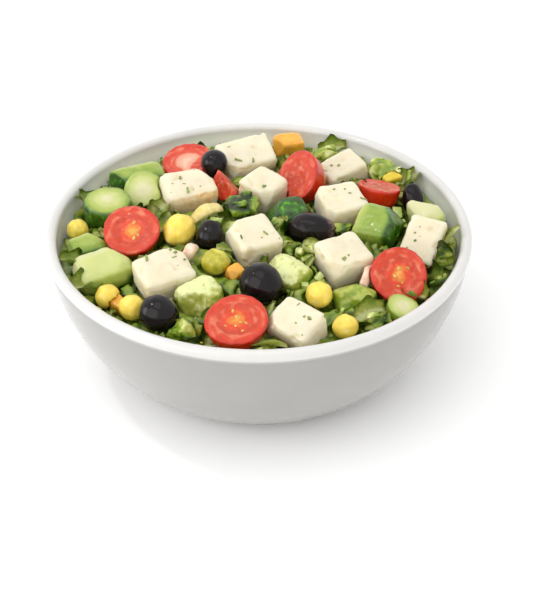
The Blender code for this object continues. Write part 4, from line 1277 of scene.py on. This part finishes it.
class SALAD_OT_chickpeas(bpy.types.Operator):
    """Rounds and creases the chickpeas"""

    bl_idname = "salad.chickpeas"
    bl_label = "Build Chickpeas"

    def execute(self, context):
        make_chickpeas(context.scene.salad)
        return {"FINISHED"}


class SALAD_OT_cucumber(bpy.types.Operator):
    """Softens the cucumber pieces, marks their skin and paints shade on one chunk"""

    bl_idname = "salad.cucumber"
    bl_label = "Build Cucumber"

    def execute(self, context):
        make_cucumber(context.scene.salad)
        return {"FINISHED"}


class SALAD_OT_small_cuts(bpy.types.Operator):
    """Softens the strips of sweet pepper and the slips of onion"""

    bl_idname = "salad.small_cuts"
    bl_label = "Build Pepper and Onion"

    def execute(self, context):
        make_small_cuts(context.scene.salad)
        return {"FINISHED"}


class SALAD_OT_lettuce(bpy.types.Operator):
    """Crumples the lettuce pieces that stand above the heap"""

    bl_idname = "salad.lettuce"
    bl_label = "Build Lettuce"

    def execute(self, context):
        make_lettuce(context.scene.salad)
        return {"FINISHED"}


class SALAD_OT_leaves(bpy.types.Operator):
    """Lays the larger torn leaves between the pieces and the wall"""

    bl_idname = "salad.leaves"
    bl_label = "Lay Leaves"

    def execute(self, context):
        lay_leaves(context.scene.salad)
        return {"FINISHED"}


class SALAD_OT_stage(bpy.types.Operator):
    """Sets up the floor, the soft lights and the camera"""

    bl_idname = "salad.stage"
    bl_label = "Build Stage"

    def execute(self, context):
        studio(context.scene.salad)
        return {"FINISHED"}


PIECES = (
    SALAD_OT_bowl,
    SALAD_OT_heap,
    SALAD_OT_feta,
    SALAD_OT_tomatoes,
    SALAD_OT_olives,
    SALAD_OT_chickpeas,
    SALAD_OT_cucumber,
    SALAD_OT_small_cuts,
    SALAD_OT_lettuce,
    SALAD_OT_leaves,
    SALAD_OT_stage,
)


class SALAD_PT_panel(bpy.types.Panel):
    """Lists the salad's settings and the operators that build it"""

    bl_label = "Greek Salad"
    bl_idname = "SALAD_PT_panel"
    bl_space_type = "VIEW_3D"
    bl_region_type = "UI"
    bl_category = "Salad"

    def draw(self, context):
        for key in SaladSettings.__annotations__:
            self.layout.prop(context.scene.salad, key)
        for operator in PIECES:
            self.layout.operator(operator.bl_idname)


CLASSES = (SaladSettings, *PIECES, SALAD_PT_panel)


def register():
    for cls in CLASSES:
        bpy.utils.register_class(cls)
    bpy.types.Scene.salad = bpy.props.PointerProperty(type=SaladSettings)


def unregister():
    del bpy.types.Scene.salad
    for cls in reversed(CLASSES):
        bpy.utils.unregister_class(cls)


def main():
    register()
    for operator in PIECES:
        if getattr(bpy.ops.salad, operator.bl_idname.split(".")[1])() != {"FINISHED"}:
            raise RuntimeError(f"{operator.bl_label} did not finish")
    boxes = {"cad": CAD_BOX, "visual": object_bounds()}
    {name: [list(low), list(high)] for name, (low, high) in boxes.items()}


if __name__ == "__main__":
    main()
